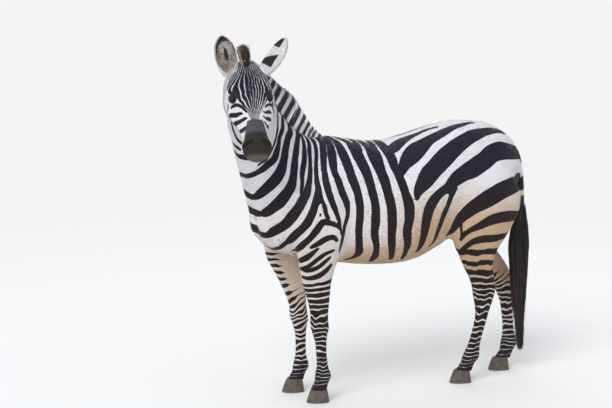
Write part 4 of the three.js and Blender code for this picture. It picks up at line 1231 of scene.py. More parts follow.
# ------------------------------------------------------------------ hair as mesh
def lock_mesh(name, paths, wide, thick, flat, places, values, sides=3, patch=0.003):
    """Many locks as one mesh: each runs along its own path from a point through rings of a few
    sides, wide across and thick along its flat direction, to a point. In the map OFBake a lock
    is a small square at its own place, in which its rings lie one above the other."""
    count, steps = paths.shape[:2]
    ahead = unit(np.gradient(paths, axis=1))
    across = unit(np.cross(ahead, flat[:, None]))
    lift = np.cross(across, ahead)
    angle = 2 * math.pi * np.arange(sides) / sides + math.pi / 2
    ring = (
        paths[:, 1:-1, None]
        + across[:, 1:-1, None] * (np.cos(angle)[:, None] * wide[:, 1:-1, None, None] / 2)
        + lift[:, 1:-1, None] * (np.sin(angle)[:, None] * thick[:, 1:-1, None, None] / 2)
    )
    points = np.concatenate([paths[:, :1], ring.reshape(count, -1, 3), paths[:, -1:]], axis=1)
    rows = steps - 2
    j = np.arange(sides)
    k = (j + 1) % sides
    last = 1 + rows * sides
    faces = [np.column_stack([0 * j, 1 + k, 1 + j])]
    spots = [corners_at((j + 0.5, 0), (j + 1, 1), (j, 1))]
    for r in range(1, rows):
        a, b = 1 + (r - 1) * sides, 1 + r * sides
        faces += [np.column_stack([a + j, a + k, b + k]), np.column_stack([a + j, b + k, b + j])]
        spots += [corners_at((j, r), (j + 1, r), (j + 1, r + 1)),
                  corners_at((j, r), (j + 1, r + 1), (j, r + 1))]
    a = 1 + (rows - 1) * sides
    faces += [np.column_stack([a + j, a + k, 0 * j + last])]
    spots += [corners_at((j, rows), (j + 1, rows), (j + 0.5, rows + 1))]
    faces, spots = np.concatenate(faces), np.concatenate(spots) / [sides, rows + 1]
    size = points.shape[1]
    faces = (np.arange(count)[:, None, None] * size + faces).reshape(-1, 3)
    uv = (places[:, None, None] + spots * patch * 0.94).reshape(-1, 2)
    mesh = mesh_of(name, points.reshape(-1, 3), [faces], uv)
    step_of = np.concatenate([[0], np.repeat(np.arange(1, steps - 1), sides), [steps - 1]])
    for key, value in values.items():
        value = np.asarray(value, float)
        grown = np.repeat(value, size) if value.ndim == 1 else value[:, step_of].ravel()
        set_values(mesh, **{key: grown})
    return mesh


def own_places(places, cells=248):
    """Keeps one item for each cell of the map, and gives its cell's corner as its place."""
    cell = np.clip((places * cells).astype(int), 0, cells - 1)
    _, first = np.unique(cell[:, 0] * cells + cell[:, 1], return_index=True)
    first = np.sort(first)
    return first, (cell[first] + 0.1) / cells


def in_rows(count):
    """Places for a number of items in even rows over the whole map."""
    across = int(math.ceil(math.sqrt(count)))
    i = np.arange(count)
    return np.column_stack([i % across, i // across]) / across * 0.99 + 0.002


SKIN = {}


def scatter(parts, number, seed, most=24000):
    """Random places on the skin's triangles, as likely everywhere for their area, with the normal,
    the lie of the hair, the map's place and the markings of each."""
    rng = np.random.default_rng(seed)
    on = np.isin(SKIN["face_parts"], parts)
    faces, corners = SKIN["faces"][on], SKIN["face_corners"][on]
    p = SKIN["points"][faces]
    area = np.linalg.norm(np.cross(p[:, 1] - p[:, 0], p[:, 2] - p[:, 0]), axis=1)
    pick = np.searchsorted(np.cumsum(area), rng.uniform(0, area.sum(), number))
    pick = np.minimum(pick, len(faces) - 1)
    a, b = rng.uniform(size=(2, number))
    over = a + b > 1
    a, b = np.where(over, 1 - a, a), np.where(over, 1 - b, b)
    share = np.column_stack([1 - a - b, a, b])

    def at(values):
        return np.einsum("ij,ij...->i...", share, values)

    names = SKIN["face_parts"][on][pick]
    box = np.array([CHARTS[n] for n in names])
    place = (at(SKIN["corner_places"][corners[pick]]) - box[:, :2]) / (box[:, 2:] - box[:, :2])
    order = np.array([list(parts).index(n) for n in names])
    place[:, 0] = (np.clip(place[:, 0], 0, 0.999) + order) / len(parts)
    keep, place = own_places(np.clip(place, 0, 0.999))
    keep, place = keep[:most], place[:most]
    kept = ("points", "normals", "lie", *SKIN["marks"])
    found = {key: at(SKIN[key][faces[pick]])[keep] for key in kept}
    found["part"] = names[keep]
    found["place"] = place
    return found


def skin_at(points):
    """The skin's own numbers at the places nearest to some points."""
    found = [SKIN["triangles"].find_nearest(p) for p in points.tolist()]
    corners = SKIN["faces"][np.array([f[2] for f in found])]
    a, b, c = SKIN["points"][corners].transpose(1, 0, 2)
    spot = np.array([f[0] for f in found])
    whole = np.linalg.norm(np.cross(b - a, c - a), axis=1)
    share = np.column_stack([np.linalg.norm(np.cross(c - b, spot - b), axis=1),
                             np.linalg.norm(np.cross(a - c, spot - c), axis=1),
                             np.linalg.norm(np.cross(b - a, spot - a), axis=1)]) / whole[:, None]
    share /= share.sum(1, keepdims=True)
    return {key: (SKIN[key][corners] * share).sum(1) for key in SKIN["marks"]}


def tufts(name, parts, number, seed, length, wide):
    """Short flat tufts over parts of the skin: each lies along the coat from a root just under the
    skin to a tip a little above it."""
    rng = np.random.default_rng(seed + 100)
    spot = scatter(parts, number, seed)
    n = len(spot["points"])
    normal = unit(spot["normals"])
    way = unit(spot["lie"] - normal * (spot["lie"] * normal).sum(1, keepdims=True))
    side = np.cross(normal, way)
    way = unit(way + side * rng.normal(0, 0.13, (n, 1)))
    long = length(spot) * rng.uniform(0.75, 1.25, n)
    rise = (length(spot) / 15 + 0.4) * rng.uniform(0.6, 1.3, n)
    t = np.array([0.0, 0.42, 1.0])
    up = np.array([-0.6, 0.45, 1.0])
    path = (
        spot["points"][:, None]
        + way[:, None] * (t[:, None] * long[:, None, None])
        + normal[:, None] * (up[:, None] * rise[:, None, None])
    )
    width = np.repeat((wide(spot) * rng.uniform(0.8, 1.2, n))[:, None], 3, 1)
    tip = skin_at(path[:, 2])
    mix = np.array([0, 0.42, 1])
    for s in "ab":
        strangers = np.abs(spot[f"near_{s}"] - tip[f"near_{s}"]) > 0.01
        for found in (spot, tip):
            left, right = found[f"left_{s}"], found[f"right_{s}"]
            both = np.maximum(left, right)
            found[f"left_{s}"] = np.where(strangers, both, left)
            found[f"right_{s}"] = np.where(strangers, both, right)
    values = {key: spot[key][:, None] * (1 - mix) + tip[key][:, None] * mix
              for key in SKIN["marks"] if "near" not in key}
    return lock_mesh(name, path, width, width * 0.42, normal, spot["place"], values, 4)


# ------------------------------------------------------------------ settings and operators
def colour(name, what, default):
    """A colour setting."""
    return bpy.props.FloatVectorProperty(name=name, description=what, default=default, min=0, max=1,
                                         subtype="COLOR_GAMMA", size=3)


def number(name, what, default, **rest):
    """A number setting."""
    return bpy.props.FloatProperty(name=name, description=what, default=default, min=0, **rest)


class ZebraSettings(bpy.types.PropertyGroup):
    """Sizes and colours of the coat and hair."""

    coat_depth: number("Coat depth", "How far the skin lies under the coat's tips", 0.003, unit="LENGTH")
    tuft_length: number("Tuft length", "Length of the body's short tufts", 0.015, unit="LENGTH")
    tuft_width: number("Tuft width", "Width of the body's short tufts", 0.0034, unit="LENGTH")
    white: colour("White", "Pale hair of the back and sides", (0.9, 0.9, 0.92))
    tan: colour("Tan", "Pale hair of the belly and inner legs", (0.78, 0.665, 0.54))
    black: colour("Black", "Dark hair of the back", (0.09, 0.08, 0.15))
    brown: colour("Brown", "Dark hair lower down", (0.108, 0.052, 0.044))
    # Nose: the muzzle top's own dark grey, lightened and blued by a painted sheen.
    nose_grey_and_sheen: colour("Nose", "Velvety top of the muzzle", (0.3, 0.3, 0.335))
    soot: colour("Soot", "Nostrils and eye surround", (0.17, 0.145, 0.14))
    lip: colour("Lip", "Paler skin of the lips", (0.42, 0.37, 0.345))
    mane_brown: colour("Mane brown", "Soft top of the mane and the forelock", (0.2, 0.12, 0.1))
    horn: colour("Horn", "Hooves", (0.31, 0.275, 0.255))


class ZEBRA_OT_skin(bpy.types.Operator):
    """Builds the one skin over trunk, neck, head, ears, dock and legs, with its markings"""

    bl_idname = "zebra.skin"
    bl_label = "Skin"

    def execute(self, context):
        depth = context.scene.zebra.coat_depth / MM
        mesh = union(part_meshes(depth))
        if len(mesh.vertices) < 1000:
            raise RuntimeError("The skin's parts did not join")
        points, edges = points_of(mesh), edges_of(mesh)
        face, vertex, place, first, second = labels_of(mesh)
        points = blend(points, edges, first, second)
        points = self.shaped(mesh, points, muscled)
        points = self.shaped(mesh, points, lambda p, n: legs_detailed(p, n, vertex))
        normals = self.shaped(mesh, points)
        tree = BVHTree.FromObject(show("skin_probe", mesh), context.evaluated_depsgraph_get())
        bpy.data.objects.remove(bpy.data.objects["skin_probe"])
        marks = markings(points, normals, vertex, place, tree)
        average = averager(edges, len(points))
        for _ in range(10):
            marks["warm"] = average(marks["warm"][:, None])[:, 0]
        set_values(mesh, **{key: value for key, value in marks.items() if "near" not in key})
        skin = show("skin", mesh, coat_material("striped_hide", True))
        self.remember(mesh, points, normals, face, vertex, marks)
        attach(skin, "root")
        flesh = [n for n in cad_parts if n.startswith(("foreleg", "hindleg")) and "hoof" not in n]
        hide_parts(*flesh, "trunk", "neck", "head", "ear_left", "ear_right", "tail_dock")
        return {"FINISHED"}

    def shaped(self, mesh, points, change=None):
        """Writes points to the mesh; returns its normals, or the points moved by a change."""
        mesh.vertices.foreach_set("co", (points * MM + ORIGIN).astype(np.float32).ravel())
        mesh.update()
        normals = read(mesh, "vector", "vertex_normals").astype(float)
        return change(points, normals) if change else normals

    def remember(self, mesh, points, normals, face, vertex, marks):
        """Keeps the skin's triangles and numbers for the coat."""
        mesh.calc_loop_triangles()
        triangles = read(mesh, "vertices", "loop_triangles", 3, np.int32)
        SKIN.update(points=points, normals=normals, faces=triangles,
                    triangles=BVHTree.FromPolygons(points.tolist(), triangles.tolist(), all_triangles=True),
                    face_corners=read(mesh, "loops", "loop_triangles", 3, np.int32),
                    face_parts=face[read(mesh, "polygon_index", "loop_triangles", 1, np.int32)],
                    marks=list(marks), lie=lie_of_hair(points, normals, vertex, mesh),
                    corner_places=read(mesh.uv_layers["OFBake"], "uv", "data", 2).astype(float), **marks)


def lie_of_hair(points, normals, vertex, mesh):
    """The way the hair lies: back along the body, down the legs, towards the lips on the face and to
    the tips of the ears, evened out over the skin and turned into its surface."""
    way = np.tile([0.0, 1.0, -0.3], (len(points), 1))
    way[:, 2] -= 0.9 * smooth(350, 620, points[:, 1])
    way[vertex == "neck"] = [0, 0.75, -0.7]
    way[np.isin(vertex, list(LEGS))] = [0, 0.12, -1]
    way[vertex == "tail"] = [0, 0.1, -1]
    way[vertex == "head"] = HEAD_AXES @ [1, 0, -0.15]
    for name in EARS:
        way[vertex == f"ear_{name}"] = ear_axes(name)[2]
    average = averager(edges_of(mesh), len(points))
    for _ in range(24):
        way = 0.4 * way + 0.6 * average(way)
    return unit(way - normals * (way * normals).sum(1, keepdims=True))


# Angles from the eye's axis: the lids' opening across, up and down, their outer edge across and
# up, and the iris.
LID_OPEN, LID_REACH, IRIS = np.radians([60, 36, 26]), np.radians([84, 74]), math.radians(46)


class ZEBRA_OT_eyes(bpy.types.Operator):
    """Builds both eyes with their lids"""

    bl_idname = "zebra.eyes"
    bl_label = "Eyes"

    def execute(self, context):
        ball = eye_material()
        for name, way in (("left", 1), ("right", -1)):
            grid = eye_grid(way)
            mesh = shell(f"eye_{name}_ball", grid)
            out, ahead, up = eye_axes(way)
            spot = to_head(points_of(mesh)) - EYE * [1, way, 1]
            bend = np.arccos(np.clip(unit(spot) @ out, -1, 1))
            set_values(mesh, iris=bend / IRIS,
                       pupil=np.hypot(spot @ ahead / 10.0, spot @ up / 5.5) + (bend > 1.4))
            settle(mesh, ball, "eye", f"eye_{name}")
            lids = shell(f"lids_{name}", lid_grid(way))
            count = len(lids.vertices)
            plain = {"left_a": -FAR, "right_a": -FAR, "left_b": FAR, "right_b": FAR, "share": -0.5,
                     "ring": 0, "soot": 0.45, "warm": 0, "pale": 0.5}
            set_values(lids, **{key: np.full(count, value) for key, value in plain.items()})
            settle(lids, bpy.data.materials["striped_hide"], "striped_coat")
        return {"FINISHED"}


def eye_axes(way):
    """The eye's own directions: out along its axis, towards the lips, and up."""
    out = unit(np.array([0.2, way, 0.38]))
    ahead = unit(np.array([1.0, 0, 0.0]) - out * out[0])
    return out, ahead, unit(np.cross(out, ahead)) * way


def eye_grid(way):
    """An eyeball: rings of a sphere about its axis, with the cornea bulging out at the front."""
    out, ahead, up = eye_axes(way)
    polar = np.linspace(0.05, math.pi - 0.05, 40)[:, None, None]
    around = np.linspace(0, 2 * math.pi, 64, endpoint=False)[None, :, None]
    radius = EYE_RADIUS + 1.0 * bell(polar / 0.42) - 0.6
    spot = radius * (np.cos(polar) * out + np.sin(polar) * (np.cos(around) * ahead + np.sin(around) * up))
    return from_head(EYE * [1, way, 1] + spot)


def lid_grid(way):
    """Both lids as one ring of skin on the eyeball: round an almond opening, each section is a
    closed loop that runs out over the lid, folds in under the brow and returns along the ball."""
    out, ahead, up = eye_axes(way)
    around = np.linspace(0, 2 * math.pi, 96, endpoint=False)[:, None]
    section = np.linspace(0, 2 * math.pi, 20, endpoint=False)[None]
    c, s = np.cos(around), np.sin(around)
    tall = np.where(s > 0, LID_OPEN[1], LID_OPEN[2])
    open_x, open_y = LID_OPEN[0] * c, tall * s * np.abs(s) ** 0.25
    far_x, far_y = LID_REACH[0] * c, LID_REACH[1] * s
    t = (1 - np.cos(section)) / 2
    x, y = open_x + (far_x - open_x) * t, open_y + (far_y - open_y) * t
    over = np.sin(section)
    fold = 1.3 * bell((t - 0.42) / 0.1) * (s > 0) * s
    outer = 1.5 * np.maximum(over, 0) * (1 - 0.5 * t) - fold * (over > 0)
    radius = EYE_RADIUS + 0.9 + outer - 0.9 * np.maximum(-over, 0)
    bend = np.hypot(x, y)
    turn_x, turn_y = x / np.maximum(bend, 1e-6), y / np.maximum(bend, 1e-6)
    aside = turn_x[..., None] * ahead + turn_y[..., None] * up
    spot = radius[..., None] * (np.cos(bend)[..., None] * out + np.sin(bend)[..., None] * aside)
    return from_head(EYE * [1, way, 1] + spot)


def eye_material():
    """A dark brown eye: a level oval pupil, a brown iris, a dark rim, and gloss."""
    made, tree = material("dark_eye")
    pupil, iris = tree.attribute("pupil"), tree.attribute("iris")
    colour = tree.blend(iris.ramp(0.86, 1.02), (0.2, 0.115, 0.075), (0.05, 0.035, 0.03))
    colour = tree.blend(pupil.ramp(1.12, 0.92), colour, (0.02, 0.02, 0.03))
    tree.surface(Base_Color=colour, Roughness=0.12, Specular_IOR_Level=0.3)
    return made


class ZEBRA_OT_hooves(bpy.types.Operator):
    """Builds the four hooves"""

    bl_idname = "zebra.hooves"
    bl_label = "Hooves"

    def execute(self, context):
        horn = hoof_material()
        for name, (_, _, line) in LEGS.items():
            settle(shell(f"{name}_wall", hoof_grid(line)), horn, "hoof_horn", f"{name}_hoof")
        return {"FINISHED"}


def hoof_grid(line):
    """A hoof: level superellipse rings that lean back as they rise, with shallow growth rings, a
    flat sole, and a hollow between two bulbs at the heel."""
    z = np.concatenate([[0, 0.0, 0.4, 1.5], np.linspace(3, 64, 44)])
    toe, heel, half = curve(HOOF, np.clip(z, 0, 61)).T
    inset = np.concatenate([[9, 1.2, 0.4, 0.0], 0 * z[4:]])
    groove = 0.45 * np.sin(z / 1.25) * smooth(2, 8, z) + 1.3 * smooth(58, 64, z) * 1.5
    x, y = line[0][1], line[0][2]
    middle = np.column_stack([x + 0 * z, y + 0 * z, z])
    half, toe, heel = half - inset - groove, -toe - inset - groove, heel - inset - groove
    grid = rings(middle, ACROSS, BACK, (half, half, heel, toe), 2.1, 72)
    off = grid - middle[:, None]
    back = smooth(0.2, 0.95, unit(off)[..., 1])
    bulb = 4.0 * back * np.cos(off[..., 0] / 11) * smooth(4, 20, z)[:, None] * smooth(70, 40, z)[:, None]
    grid[..., 1] += bulb - 2.0 * back
    return grid


def hoof_material():
    """Dusty grey-brown horn: bands across it, dust towards the ground and pale scratches."""
    made, tree = material("dusty_horn")
    settings = bpy.context.scene.zebra
    place = tree.node("ShaderNodeTexCoord", output="Object")
    height = tree.node("ShaderNodeSeparateXYZ", {}, [place], output="Z")
    blotch = tree.noise(45.0, 4.0, 0.6, place)
    band = tree.noise(1.0, 2.0, 0.5, tree.node("ShaderNodeCombineXYZ", {}, {"Z": height * 420.0}))
    colour = tree.blend(blotch.ramp(0.35, 0.7), settings.horn, (0.44, 0.395, 0.365))
    colour = tree.blend(band * 0.5, colour, (0.19, 0.165, 0.155))
    dust = (height * 1000.0 + blotch * 14.0).ramp(14.0, 2.0) * 0.35
    colour = tree.blend(dust, colour, (0.58, 0.52, 0.46))
    tree.surface(Base_Color=colour, Roughness=0.5 + blotch * 0.25,
                 Normal=tree.bump(band + blotch * 0.6, 0.0006, 0.6))
    return made


# Pieces of coat: the parts they lie on, the number of tufts, and shares of their length and width.
COATS = (
    ("coat_barrel", ["trunk"], 44000, 1.0, 1.0),
    ("coat_neck", ["neck"], 26000, 0.9, 0.95),
    ("coat_head", ["head"], 30000, 0.5, 0.62),
    ("coat_forelegs", ["foreleg_left", "foreleg_right"], 22000, 0.7, 0.8),
    ("coat_hindlegs", ["hindleg_left", "hindleg_right"], 24000, 0.75, 0.85),
    ("coat_ears", ["ear_left", "ear_right"], 12000, 0.5, 0.6),
)


class ZEBRA_OT_coat(bpy.types.Operator):
    """Lays the short coat over the skin in flat tufts, finest on the face and the feet"""

    bl_idname = "zebra.coat"
    bl_label = "Coat"

    def execute(self, context):
        settings = context.scene.zebra
        long, wide = settings.tuft_length / MM, settings.tuft_width / MM
        fur = coat_material("striped_fur", False)
        for i, (name, parts, count, length, width) in enumerate(COATS):
            mesh = tufts(name, parts, count, 40 + i, lambda spot: long * length * self.length(spot),
                         lambda spot: wide * width * self.width(spot))
            settle(mesh, fur, "striped_coat")
        return {"FINISHED"}

    def length(self, spot):
        """Shorter towards the lips and the hooves, longer under the chest and along the belly."""
        z, y = spot["points"][:, 2], spot["points"][:, 1]
        s = to_head(spot["points"])[:, 0]
        head = spot["part"] == "head"
        feet = 0.55 + 0.45 * smooth(120, 500, z)
        face = 1.25 - 0.75 * smooth(40, 420, s)
        return np.where(head, face, feet) * (1 + 0.35 * smooth(760, 670, z) * (np.abs(y - 150) < 400))

    def width(self, spot):
        """Narrower with the length."""
        return self.length(spot) ** 0.5


def hank(rows, start, end, count, steps, seed, spread, wave, loose=0.0):
    """A hank of strands round a middle line: each keeps its own share of the two half widths while
    it runs from its own start to its own end, with a slow wave; strands end one after another."""
    rng = np.random.default_rng(seed)
    angle, out = rng.uniform(0, 2 * math.pi, count), np.sqrt(rng.uniform(0.25, 1, count))
    first, last = rng.uniform(*start, count), rng.uniform(*end, count)
    t = np.linspace(0, 1, steps)
    at = first[:, None] + (last - first)[:, None] * t
    x, y, z, wide, deep = (by_row(rows, at.ravel()).T).reshape(5, count, steps)
    middle = np.stack([x, y, z], -1)
    ahead = unit(np.gradient(middle, axis=1))
    back = unit(np.cross(ACROSS, ahead))
    side = unit(np.cross(ahead, back))
    swing = wave * np.sin(t * rng.uniform(4, 9, (count, 1)) + rng.uniform(0, 6.3, (count, 1))) * t
    away = out[:, None] * (1 + spread * (t - 0.5)) * (1 - 0.25 * t**3)
    drift = rng.normal(0, loose, (2, count, 1)) * t**2
    return (middle
            + side * (wide * away * np.cos(angle)[:, None] + swing + drift[0])[..., None]
            + back * (deep * away * np.sin(angle)[:, None] + swing * 0.7 + drift[1])[..., None]), at


def settle_core(name, grid, hair, slot, node):
    """The solid middle of a hank, all in its root colour."""
    core = shell(name, grid)
    none = np.zeros(len(core.vertices))
    set_values(core, tip=none, shade=none)
    settle(core, hair, slot, node)


# Numbers of locks, and the mean distance between two stations of the neck.
MANE_LOCKS, FORELOCK_LOCKS, SWITCH_STRANDS, EAR_HAIRS, STATION_LENGTH = 4200, 640, 2100, 900, 86
MANE_LEAN = 0.3  # how far forward the mane's hair leans for each part of its length


class ZEBRA_OT_mane(bpy.types.Operator):
    """Builds the erect mane: a core along the crest and upright locks with the neck's stripes"""

    bl_idname = "zebra.mane"
    bl_label = "Mane"

    def execute(self, context):
        rng = np.random.default_rng(61)
        hair = mane_material()
        at = paced(NECK, 4)
        at = at[(at > MANE[0][0]) & (at < MANE[-1][0])]
        crest, _, up, side, _, _ = neck_frame(at)
        high, half = curve(MANE, at).T
        low, core = 26, high * 0.93
        grid = rings(crest + up * ((core - low) / 2)[:, None], side, up,
                     (half * 0.8, half * 0.8, (core + low) / 2, (core + low) / 2), 2.6, 32)
        core_mesh = shell("mane_core", grid)
        self.dress(core_mesh, points_of(core_mesh), at, crest, up, high)
        settle(core_mesh, hair, "mane_hair", "mane")
        count = MANE_LOCKS
        station = np.sort(rng.uniform(MANE[0][0] + 0.05, MANE[-1][0] - 0.05, count))
        crest, _, up, side, _, _ = neck_frame(station)
        high, half = curve(MANE, station).T
        place = rng.uniform(-1, 1, count)
        lean = unit(by_row(NECK, station + 0.2)[:, :3] - by_row(NECK, station - 0.2)[:, :3])
        t = np.linspace(0, 1, 6)
        top = high * np.sqrt(1 - 0.45 * place**2) * rng.uniform(0.93, 1.06, count) + 1
        sunk = 8 + 12 * place**2
        root = crest + side * (place * half * 0.9)[:, None] - up * sunk[:, None]
        tall = top + sunk
        fan = (place * half * 0.1 + rng.normal(0, 2.2, count))
        forward = (MANE_LEAN + rng.normal(0, 0.03, count)) * tall
        path = (root[:, None] + up[:, None] * (t[:, None] * tall[:, None, None])
                + side[:, None] * (t[:, None] ** 2 * fan[:, None, None])
                + lean[:, None] * (t[:, None] * forward[:, None, None]))
        wide = rng.uniform(3.6, 5.4, count)[:, None] * (1.05 - 0.75 * t**3)
        dark = self.bands(station + rng.normal(0, 0.02, count))
        shade = rng.uniform(0, 1, count)
        along = (t * tall[:, None] - sunk[:, None]) / np.maximum(high, 30)[:, None]
        settle(lock_mesh("mane_locks", path, wide, wide * 0.45, side, in_rows(count),
                         {"dark": dark, "shade": shade, "tip": along}), hair, "mane_hair")
        return {"FINISHED"}

    def dress(self, mesh, points, at, crest, up, high):
        """Gives the core the darkness of the neck below each point and its height."""
        near = np.argmin(np.linalg.norm(np.cross(points[:, None] - crest, up), axis=2), axis=1)
        rise = ((points - crest[near]) * up[near]).sum(1)
        set_values(mesh, dark=self.bands(at[near] - MANE_LEAN * rise / STATION_LENGTH),
                   shade=np.full(len(points), 0.5), tip=rise / np.maximum(high[near], 30))

    def bands(self, station):
        """Dark bands at the whole numbers of a count along the crest."""
        number = curve(MANE_BANDS, station)[:, 0]
        return smooth(0.31, 0.25, np.abs(number - np.round(number)))


def mane_material():
    """Erect hair in the neck's black and white that turns a soft dark brown at the top."""
    made, tree = material("mane_hair")
    settings = bpy.context.scene.zebra
    shade, tip = tree.attribute("shade"), tree.attribute("tip")
    fine = tree.noise(600.0, 2.0, 0.6)
    white = tree.blend(shade, (0.93, 0.93, 0.95), (1, 0.99, 0.99))
    black = tree.blend(shade, (0.19, 0.18, 0.23), (0.27, 0.24, 0.27))
    dark = tree.attribute("dark")
    colour = tree.blend(dark, white, black)
    brown = (tip + shade * 0.16 + fine * 0.1).ramp(0.98, 1.16) * (0.55 + dark * 0.4)
    colour = tree.blend(brown, colour, settings.mane_brown)
    tree.surface(Base_Color=colour, Roughness=0.55, Specular_IOR_Level=0.3, Sheen_Weight=0.1,
                 Normal=tree.bump(fine, 0.0008, 0.5))
    return made


class ZEBRA_OT_forelock(bpy.types.Operator):
    """Builds the forelock's upright tuft between the ears"""

    bl_idname = "zebra.forelock"
    bl_label = "Forelock"

    def execute(self, context):
        settings = context.scene.zebra
        hair = hair_material("forelock_hair", settings.mane_brown, (0.36, 0.25, 0.2), (0.8, 0.77, 0.74))
        settle_core("forelock_core", strand_rings(FORELOCK, np.linspace(0, 3.3, 24), 24, 13), hair,
                    "forelock_hair", "forelock")
        count = FORELOCK_LOCKS
        path, at = hank(FORELOCK, (0, 1.4), (1.7, 4.3), count, 9, 71, 0.9, 9.0, 9.0)
        rng = np.random.default_rng(72)
        wide = rng.uniform(2.4, 4.6, (count, 1)) * (1.05 - 0.7 * np.linspace(0, 1, 9) ** 3)
        aside = (path[:, 3] - by_row(FORELOCK, at[:, 3])[:, :3]) @ [0.4, 0.92, 0]
        pale = smooth(-6, -13, aside) + smooth(4, 1, np.abs(aside + 1)) * smooth(2.4, 2.0, at[:, -1])
        pale = pale * (rng.uniform(size=count) < 0.8)
        flat = unit(path[:, 3] - by_row(FORELOCK, at[:, 3])[:, :3])
        tip = rng.uniform(0, 1, (count, 1)) * np.linspace(0.2, 1, 9)
        settle(lock_mesh("forelock_locks", path, wide, wide * 0.5, flat, in_rows(count),
                         {"tip": tip, "shade": pale}), hair, "forelock_hair")
        return {"FINISHED"}


class ZEBRA_OT_tail(bpy.types.Operator):
    """Builds the tail's hanging switch"""

    bl_idname = "zebra.tail"
    bl_label = "Tail switch"

    def execute(self, context):
        hair = hair_material("tail_hair", (0.075, 0.07, 0.08), (0.2, 0.125, 0.1), (0.34, 0.22, 0.17))
        settle_core("switch_core", strand_rings(TAIL, np.linspace(4.2, 10.0, 90), 36, 17), hair,
                    "tail_hair", "tail_switch")
        count, steps = SWITCH_STRANDS, 16
        path, at = hank(TAIL, (3.8, 6.6), (7.0, 11.9), count, steps, 81, -0.25, 7.0, 5.0)
        rng = np.random.default_rng(82)
        wide = rng.uniform(2.6, 5.0, (count, 1)) * (1.05 - 0.8 * np.linspace(0, 1, steps) ** 4)
        flat = unit(path[:, 6] - by_row(TAIL, at[:, 6])[:, :3])
        shade = (rng.uniform(size=count) < 0.12) * rng.uniform(0.3, 1, count)
        tip = rng.uniform(0, 0.9, (count, 1)) * np.linspace(0, 1, steps) ** 2
        settle(lock_mesh("switch_strands", path, wide, wide * 0.5, flat, in_rows(count),
                         {"tip": tip, "shade": shade}), hair, "tail_hair")
        return {"FINISHED"}


class ZEBRA_OT_ear_hair(bpy.types.Operator):
    """Fills the ears with soft pale hair and fringes their rims"""

    bl_idname = "zebra.ear_hair"
    bl_label = "Ear hair"

    def execute(self, context):
        soft = hair_material("ear_hair", (0.52, 0.49, 0.47), (0.76, 0.735, 0.71), (0.15, 0.11, 0.1))
        for name in EARS:
            rng = np.random.default_rng(90 + len(name))
            _, _, axis, way, side = ear_axes(name)
            grid = ear_grid(name, 2.0, 128)
            rows, cols = grid.shape[:2]
            count = EAR_HAIRS
            r = rng.uniform(0.1, 0.93, count)
            across = np.where(rng.uniform(size=count) < 0.55, rng.uniform(-0.97, 0.97, count),
                              np.sign(rng.normal(size=count)) * rng.uniform(0.8, 1, count))
            col = ((3 - across) / 4 * cols).astype(int) % cols
            spot = grid[(r * (rows - 1)).astype(int), col]
            rim = smooth(0.75, 0.97, np.abs(across))
            long = (21 - 11 * rim) * (1 - 0.5 * r) * rng.uniform(0.7, 1.2, count)
            inward = side * (-np.sign(across) * (0.65 - 0.95 * rim))[:, None]
            aim = unit(axis * (0.55 + 0.5 * rng.uniform(size=count))[:, None]
                       + way * (0.5 - 0.15 * rim)[:, None] + inward + rng.normal(0, 0.12, (count, 3)))
            t = np.linspace(0, 1, 5)
            droop = axis * 0.35 - way * 0.18
            path = (spot[:, None] + aim[:, None] * (t[:, None] * long[:, None, None])
                    + droop * (t[:, None] ** 2 * long[:, None, None] * 0.6))
            wide = rng.uniform(1.7, 2.8, (count, 1)) * (1.05 - 0.7 * t**2)
            values = {"tip": rng.uniform(0.2, 1, (count, 1)) * t,
                      "shade": ear_inside(name, r, across) * 0.9}
            flat = np.tile(way, (count, 1))
            settle(lock_mesh(f"ear_{name}_hair", path, wide, wide * 0.5, flat, in_rows(count), values),
                   soft, "striped_coat")
        return {"FINISHED"}


# Floor, the room's colour and the camera, in metres and degrees.
FLOOR_RADIUS, FLOOR_CORNERS, FLOOR_GAP, PALE = 60, 96, 0.0005, (0.955, 0.955, 0.955)
LENS, CAMERA_PLACE, CAMERA_DOWN, CAMERA_HEADING = 99.4, (7.25, -3.567, 2.208), 9.11, 66.35


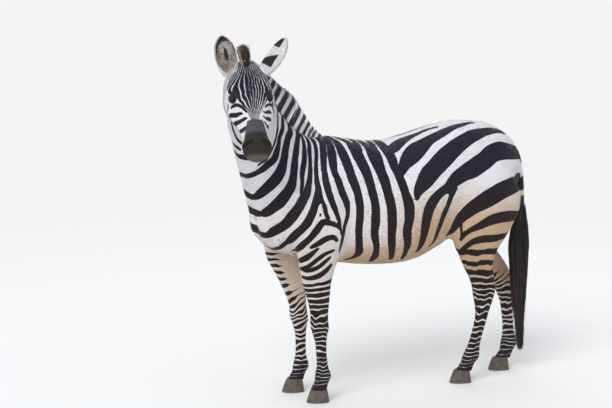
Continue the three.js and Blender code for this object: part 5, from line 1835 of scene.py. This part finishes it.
class ZEBRA_OT_stage(bpy.types.Operator):
    """Sets the pale floor, the soft light and the camera"""

    bl_idname = "zebra.stage"
    bl_label = "Stage"

    def execute(self, context):
        floor = show("floor", floor_mesh(), floor_material())
        self.world(context)
        self.lamp("key", (6.5, -7.5, 9.0), 1.6, 34)
        self.lamp("fill", (-7.0, 4.0, 6.0), 0.55, 60)
        self.camera(context)
        context.scene.view_settings.view_transform = "Standard"
        return {"FINISHED"}

    def world(self, context):
        """Pale to the camera and in glossy things, and a soft even light on the animal."""
        world = bpy.data.worlds.new("pale_room")
        context.scene.world = world
        tree = Tree(world)
        ray = [tree.node("ShaderNodeLightPath", output=f"Is {kind} Ray")
               for kind in ("Camera", "Glossy", "Transmission")]
        seen = ray[0].math("MAXIMUM", ray[1] * 0.8).math("MAXIMUM", ray[2])
        soft = tree.node("ShaderNodeBackground", {}, {"Color": (0.94, 0.965, 1.0, 1), "Strength": 0.72})
        pale = tree.node("ShaderNodeBackground", {}, {"Color": linear(PALE), "Strength": 1.0})
        mix = tree.node("ShaderNodeMixShader", {}, [seen, soft, pale])
        tree.node("ShaderNodeOutputWorld", {}, {"Surface": mix})

    def lamp(self, name, place, power, size):
        """A soft lamp far away in the direction of a place."""
        lamp = bpy.data.lights.new(name, "SUN")
        lamp.energy, lamp.angle = power, math.radians(size)
        piece = bpy.data.objects.new(name, lamp)
        piece.location = place
        piece.rotation_euler = Vector(place).to_track_quat("Z", "Y").to_euler()
        bpy.context.scene.collection.objects.link(piece)

    def camera(self, context):
        """A long lens at the animal's left shoulder, from a little above its back."""
        lens = bpy.data.cameras.new("camera")
        lens.lens, lens.sensor_width, lens.clip_end = LENS, 36, 200
        camera = bpy.data.objects.new("camera", lens)
        camera.location = ORIGIN + CAMERA_PLACE
        camera.rotation_euler = (math.radians(90 - CAMERA_DOWN), 0, math.radians(CAMERA_HEADING))
        context.scene.collection.objects.link(camera)
        context.scene.camera = camera


def floor_mesh():
    """A wide floor at the height of the soles: one flat face with its corners on a circle."""
    angle = np.arange(FLOOR_CORNERS) * 2 * math.pi / FLOOR_CORNERS
    level = np.full(FLOOR_CORNERS, FRAME_BOUNDS[0][2] - FLOOR_GAP)
    points = np.column_stack([FLOOR_RADIUS * np.cos(angle), FLOOR_RADIUS * np.sin(angle), level])
    return mesh_of("floor", points, [np.arange(FLOOR_CORNERS)[None]], None, False)


def floor_material():
    """Pale floor that keeps the shadow and far out becomes the room's own pale colour."""
    made, tree = material("pale_floor")
    place = tree.node("ShaderNodeTexCoord", output="Object")
    away = tree.node("ShaderNodeVectorMath", {"operation": "LENGTH"}, [place], output="Value")
    matt = tree.node("ShaderNodeBsdfDiffuse", {}, {"Color": linear((0.93, 0.93, 0.93))})
    glow = tree.node("ShaderNodeEmission", {}, {"Color": linear(PALE), "Strength": 1.0})
    seen = tree.node("ShaderNodeLightPath", output="Is Camera Ray")
    mix = tree.node("ShaderNodeMixShader", {}, [away.ramp(1.6, 5.5) * seen, matt, glow])
    tree.node("ShaderNodeOutputMaterial", {}, {"Surface": mix})
    return made


class ZEBRA_PT_panel(bpy.types.Panel):
    """Lists the steps and the settings"""

    bl_idname = "ZEBRA_PT_panel"
    bl_label = "Plains Zebra"
    bl_space_type = "VIEW_3D"
    bl_region_type = "UI"
    bl_category = "Zebra"

    def draw(self, context):
        settings = context.scene.zebra
        for step in STEPS:
            self.layout.operator(step.bl_idname)
        for name in settings.__annotations__:
            self.layout.prop(settings, name)


STEPS = (ZEBRA_OT_skin, ZEBRA_OT_coat, ZEBRA_OT_mane, ZEBRA_OT_forelock, ZEBRA_OT_tail, ZEBRA_OT_ear_hair,
         ZEBRA_OT_eyes, ZEBRA_OT_hooves, ZEBRA_OT_stage)
CLASSES = (ZebraSettings, *STEPS, ZEBRA_PT_panel)


def register():
    for cls in CLASSES:
        bpy.utils.register_class(cls)
    bpy.types.Scene.zebra = bpy.props.PointerProperty(type=ZebraSettings)


def unregister():
    del bpy.types.Scene.zebra
    for cls in reversed(CLASSES):
        bpy.utils.unregister_class(cls)


def main():
    """Builds everything in order."""
    register()
    for step in STEPS:
        group, name = step.bl_idname.split(".")
        getattr(getattr(bpy.ops, group), name)()


if __name__ == "__main__":
    main()
